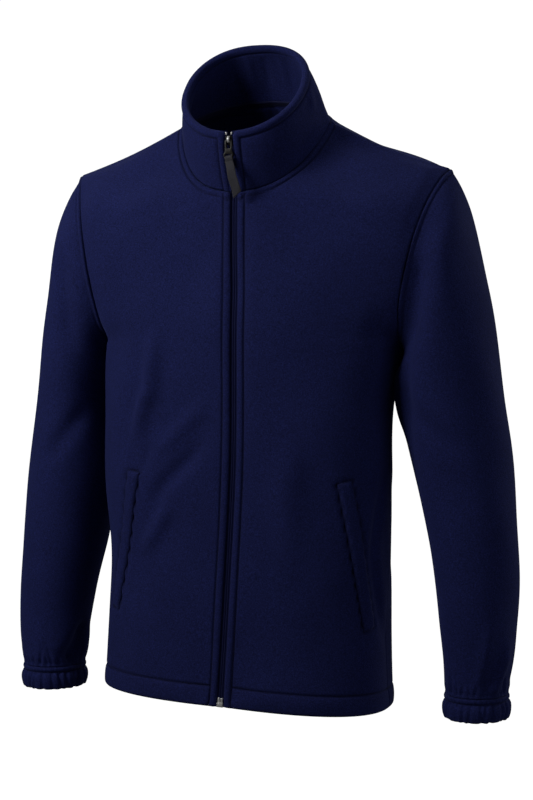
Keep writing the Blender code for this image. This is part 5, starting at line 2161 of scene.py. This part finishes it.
FRONT_FOLDS = {
    Side.LEFT: (
        Fold(((0.700, 0.944), (0.515, 0.856), (0.410, 0.829), (0.270, 0.892), (0.130, 0.990)),
             -0.0060, 0.0092),
        Fold(((1.500, 0.900), (1.180, 0.840), (0.900, 0.860)), -0.0050, 0.0147),
        Fold(((0.780, 0.330), (0.560, 0.300), (0.300, 0.340)), 0.0047, 0.0184),
    ),
    Side.RIGHT: (
        Fold(((1.165, 0.425), (0.885, 0.432), (0.815, 0.474), (0.675, 0.558)), 0.0108, 0.0110),
        Fold(((0.835, 0.082), (0.760, 0.244), (0.665, 0.427)), 0.0053, 0.0110),
        Fold(((0.745, 0.109), (0.665, 0.222), (0.580, 0.384), (0.500, 0.428)), -0.0069, 0.0101),
        Fold(((0.560, 0.300), (0.470, 0.400), (0.400, 0.490)), 0.0069, 0.0101),
        Fold(((0.720, 0.440), (0.665, 0.470), (0.620, 0.496)), -0.0038, 0.006),
        Fold(((0.700, 0.560), (0.655, 0.530), (0.620, 0.500)), -0.0032, 0.006),
    ),
}
BACK_FOLDS = {
    Side.LEFT: (
        Fold(((1.780, 0.900), (1.350, 0.700), (0.950, 0.560)), -0.0048, 0.014),
        Fold(((0.820, 0.380), (0.520, 0.300), (0.180, 0.340)), 0.0048, 0.016),
        Fold(((0.640, 0.920), (0.460, 0.840), (0.240, 0.900)), -0.0042, 0.010),
    ),
    Side.RIGHT: (
        Fold(((1.820, 0.860), (1.300, 0.760), (0.880, 0.700)), -0.0045, 0.015),
        Fold(((1.050, 0.300), (0.700, 0.420), (0.380, 0.560)), 0.0045, 0.014),
        Fold(((0.520, 0.160), (0.300, 0.200), (0.110, 0.170)), -0.0038, 0.013),
    ),
}
SLEEVE_FOLDS = {
    Side.LEFT: (
        Fold(((0.893, 0.450), (0.950, 0.410), (0.998, 0.371)), 0.0048, 0.009, 0.4, 0.15),
        Fold(((0.850, 0.350), (0.930, 0.310), (0.990, 0.290)), 0.0035, 0.008, 0.4, 0.15),
        Fold(((0.060, 0.420), (0.070, 0.280), (0.120, 0.150), (0.200, 0.100)), -0.0080, 0.014),
        Fold(((0.060, 0.300), (0.200, 0.190), (0.380, 0.140), (0.560, 0.120)), -0.0110, 0.017, 0.15, 0.35),
        Fold(((0.100, 0.060), (0.300, 0.040), (0.520, 0.050)), 0.0050, 0.014),
        Fold(((0.420, 0.120), (0.500, 0.220), (0.560, 0.330)), -0.0052, 0.012),
        Fold(((0.480, 0.860), (0.540, 0.760), (0.580, 0.660)), -0.0056, 0.012),
        Fold(((0.860, 0.620), (0.930, 0.660), (0.990, 0.700)), 0.0042, 0.009, 0.4, 0.15),
    ),
    Side.RIGHT: (
        Fold(((0.915, 0.000), (0.963, 0.058), (0.993, 0.117)), -0.0130, 0.012, 0.3, 0.15),
        Fold(((0.092, 0.342), (0.200, 0.260), (0.330, 0.180)), -0.0080, 0.014),
        Fold(((0.440, 0.100), (0.520, 0.200), (0.600, 0.300)), -0.0052, 0.012),
        Fold(((0.430, 0.880), (0.500, 0.780), (0.560, 0.680)), -0.0056, 0.012),
        Fold(((0.870, 0.560), (0.930, 0.600), (0.990, 0.640)), 0.0038, 0.009, 0.4, 0.15),
    ),
}
COLLAR_FOLDS = (
    Fold(((0.940, 0.263), (0.590, 0.239), (0.440, 0.237)), 0.0020, 0.006),
    Fold(((0.200, 0.575), (0.600, 0.575), (0.950, 0.575)), 0.0018, 0.006),
    Fold(((0.200, 0.535), (0.600, 0.535), (0.950, 0.535)), -0.0018, 0.006),
    Fold(((0.200, 0.490), (0.600, 0.490), (0.950, 0.490)), 0.0015, 0.006),
    Fold(((0.200, 0.445), (0.600, 0.445), (0.950, 0.445)), -0.0015, 0.006),
)
WELTS = {
    Side.LEFT: PocketWelt(0.119, 0.615, 0.164, 0.215),
    Side.RIGHT: PocketWelt(0.119, 0.628, 0.148, 0.240),
}


def main() -> None:
    """Build the jacket and the studio round it."""
    logging.basicConfig(level=logging.INFO, format="%(name)s: %(message)s")
    Studio().set_up()
    jacket = Jacket()
    jacket.make_back(BACK_FOLDS)
    jacket.make_fronts(FRONT_FOLDS, WELTS)
    jacket.make_sleeves(SLEEVE_FOLDS)
    jacket.make_collar(COLLAR_FOLDS)
    jacket.make_zip()


if __name__ == "__main__":
    main()
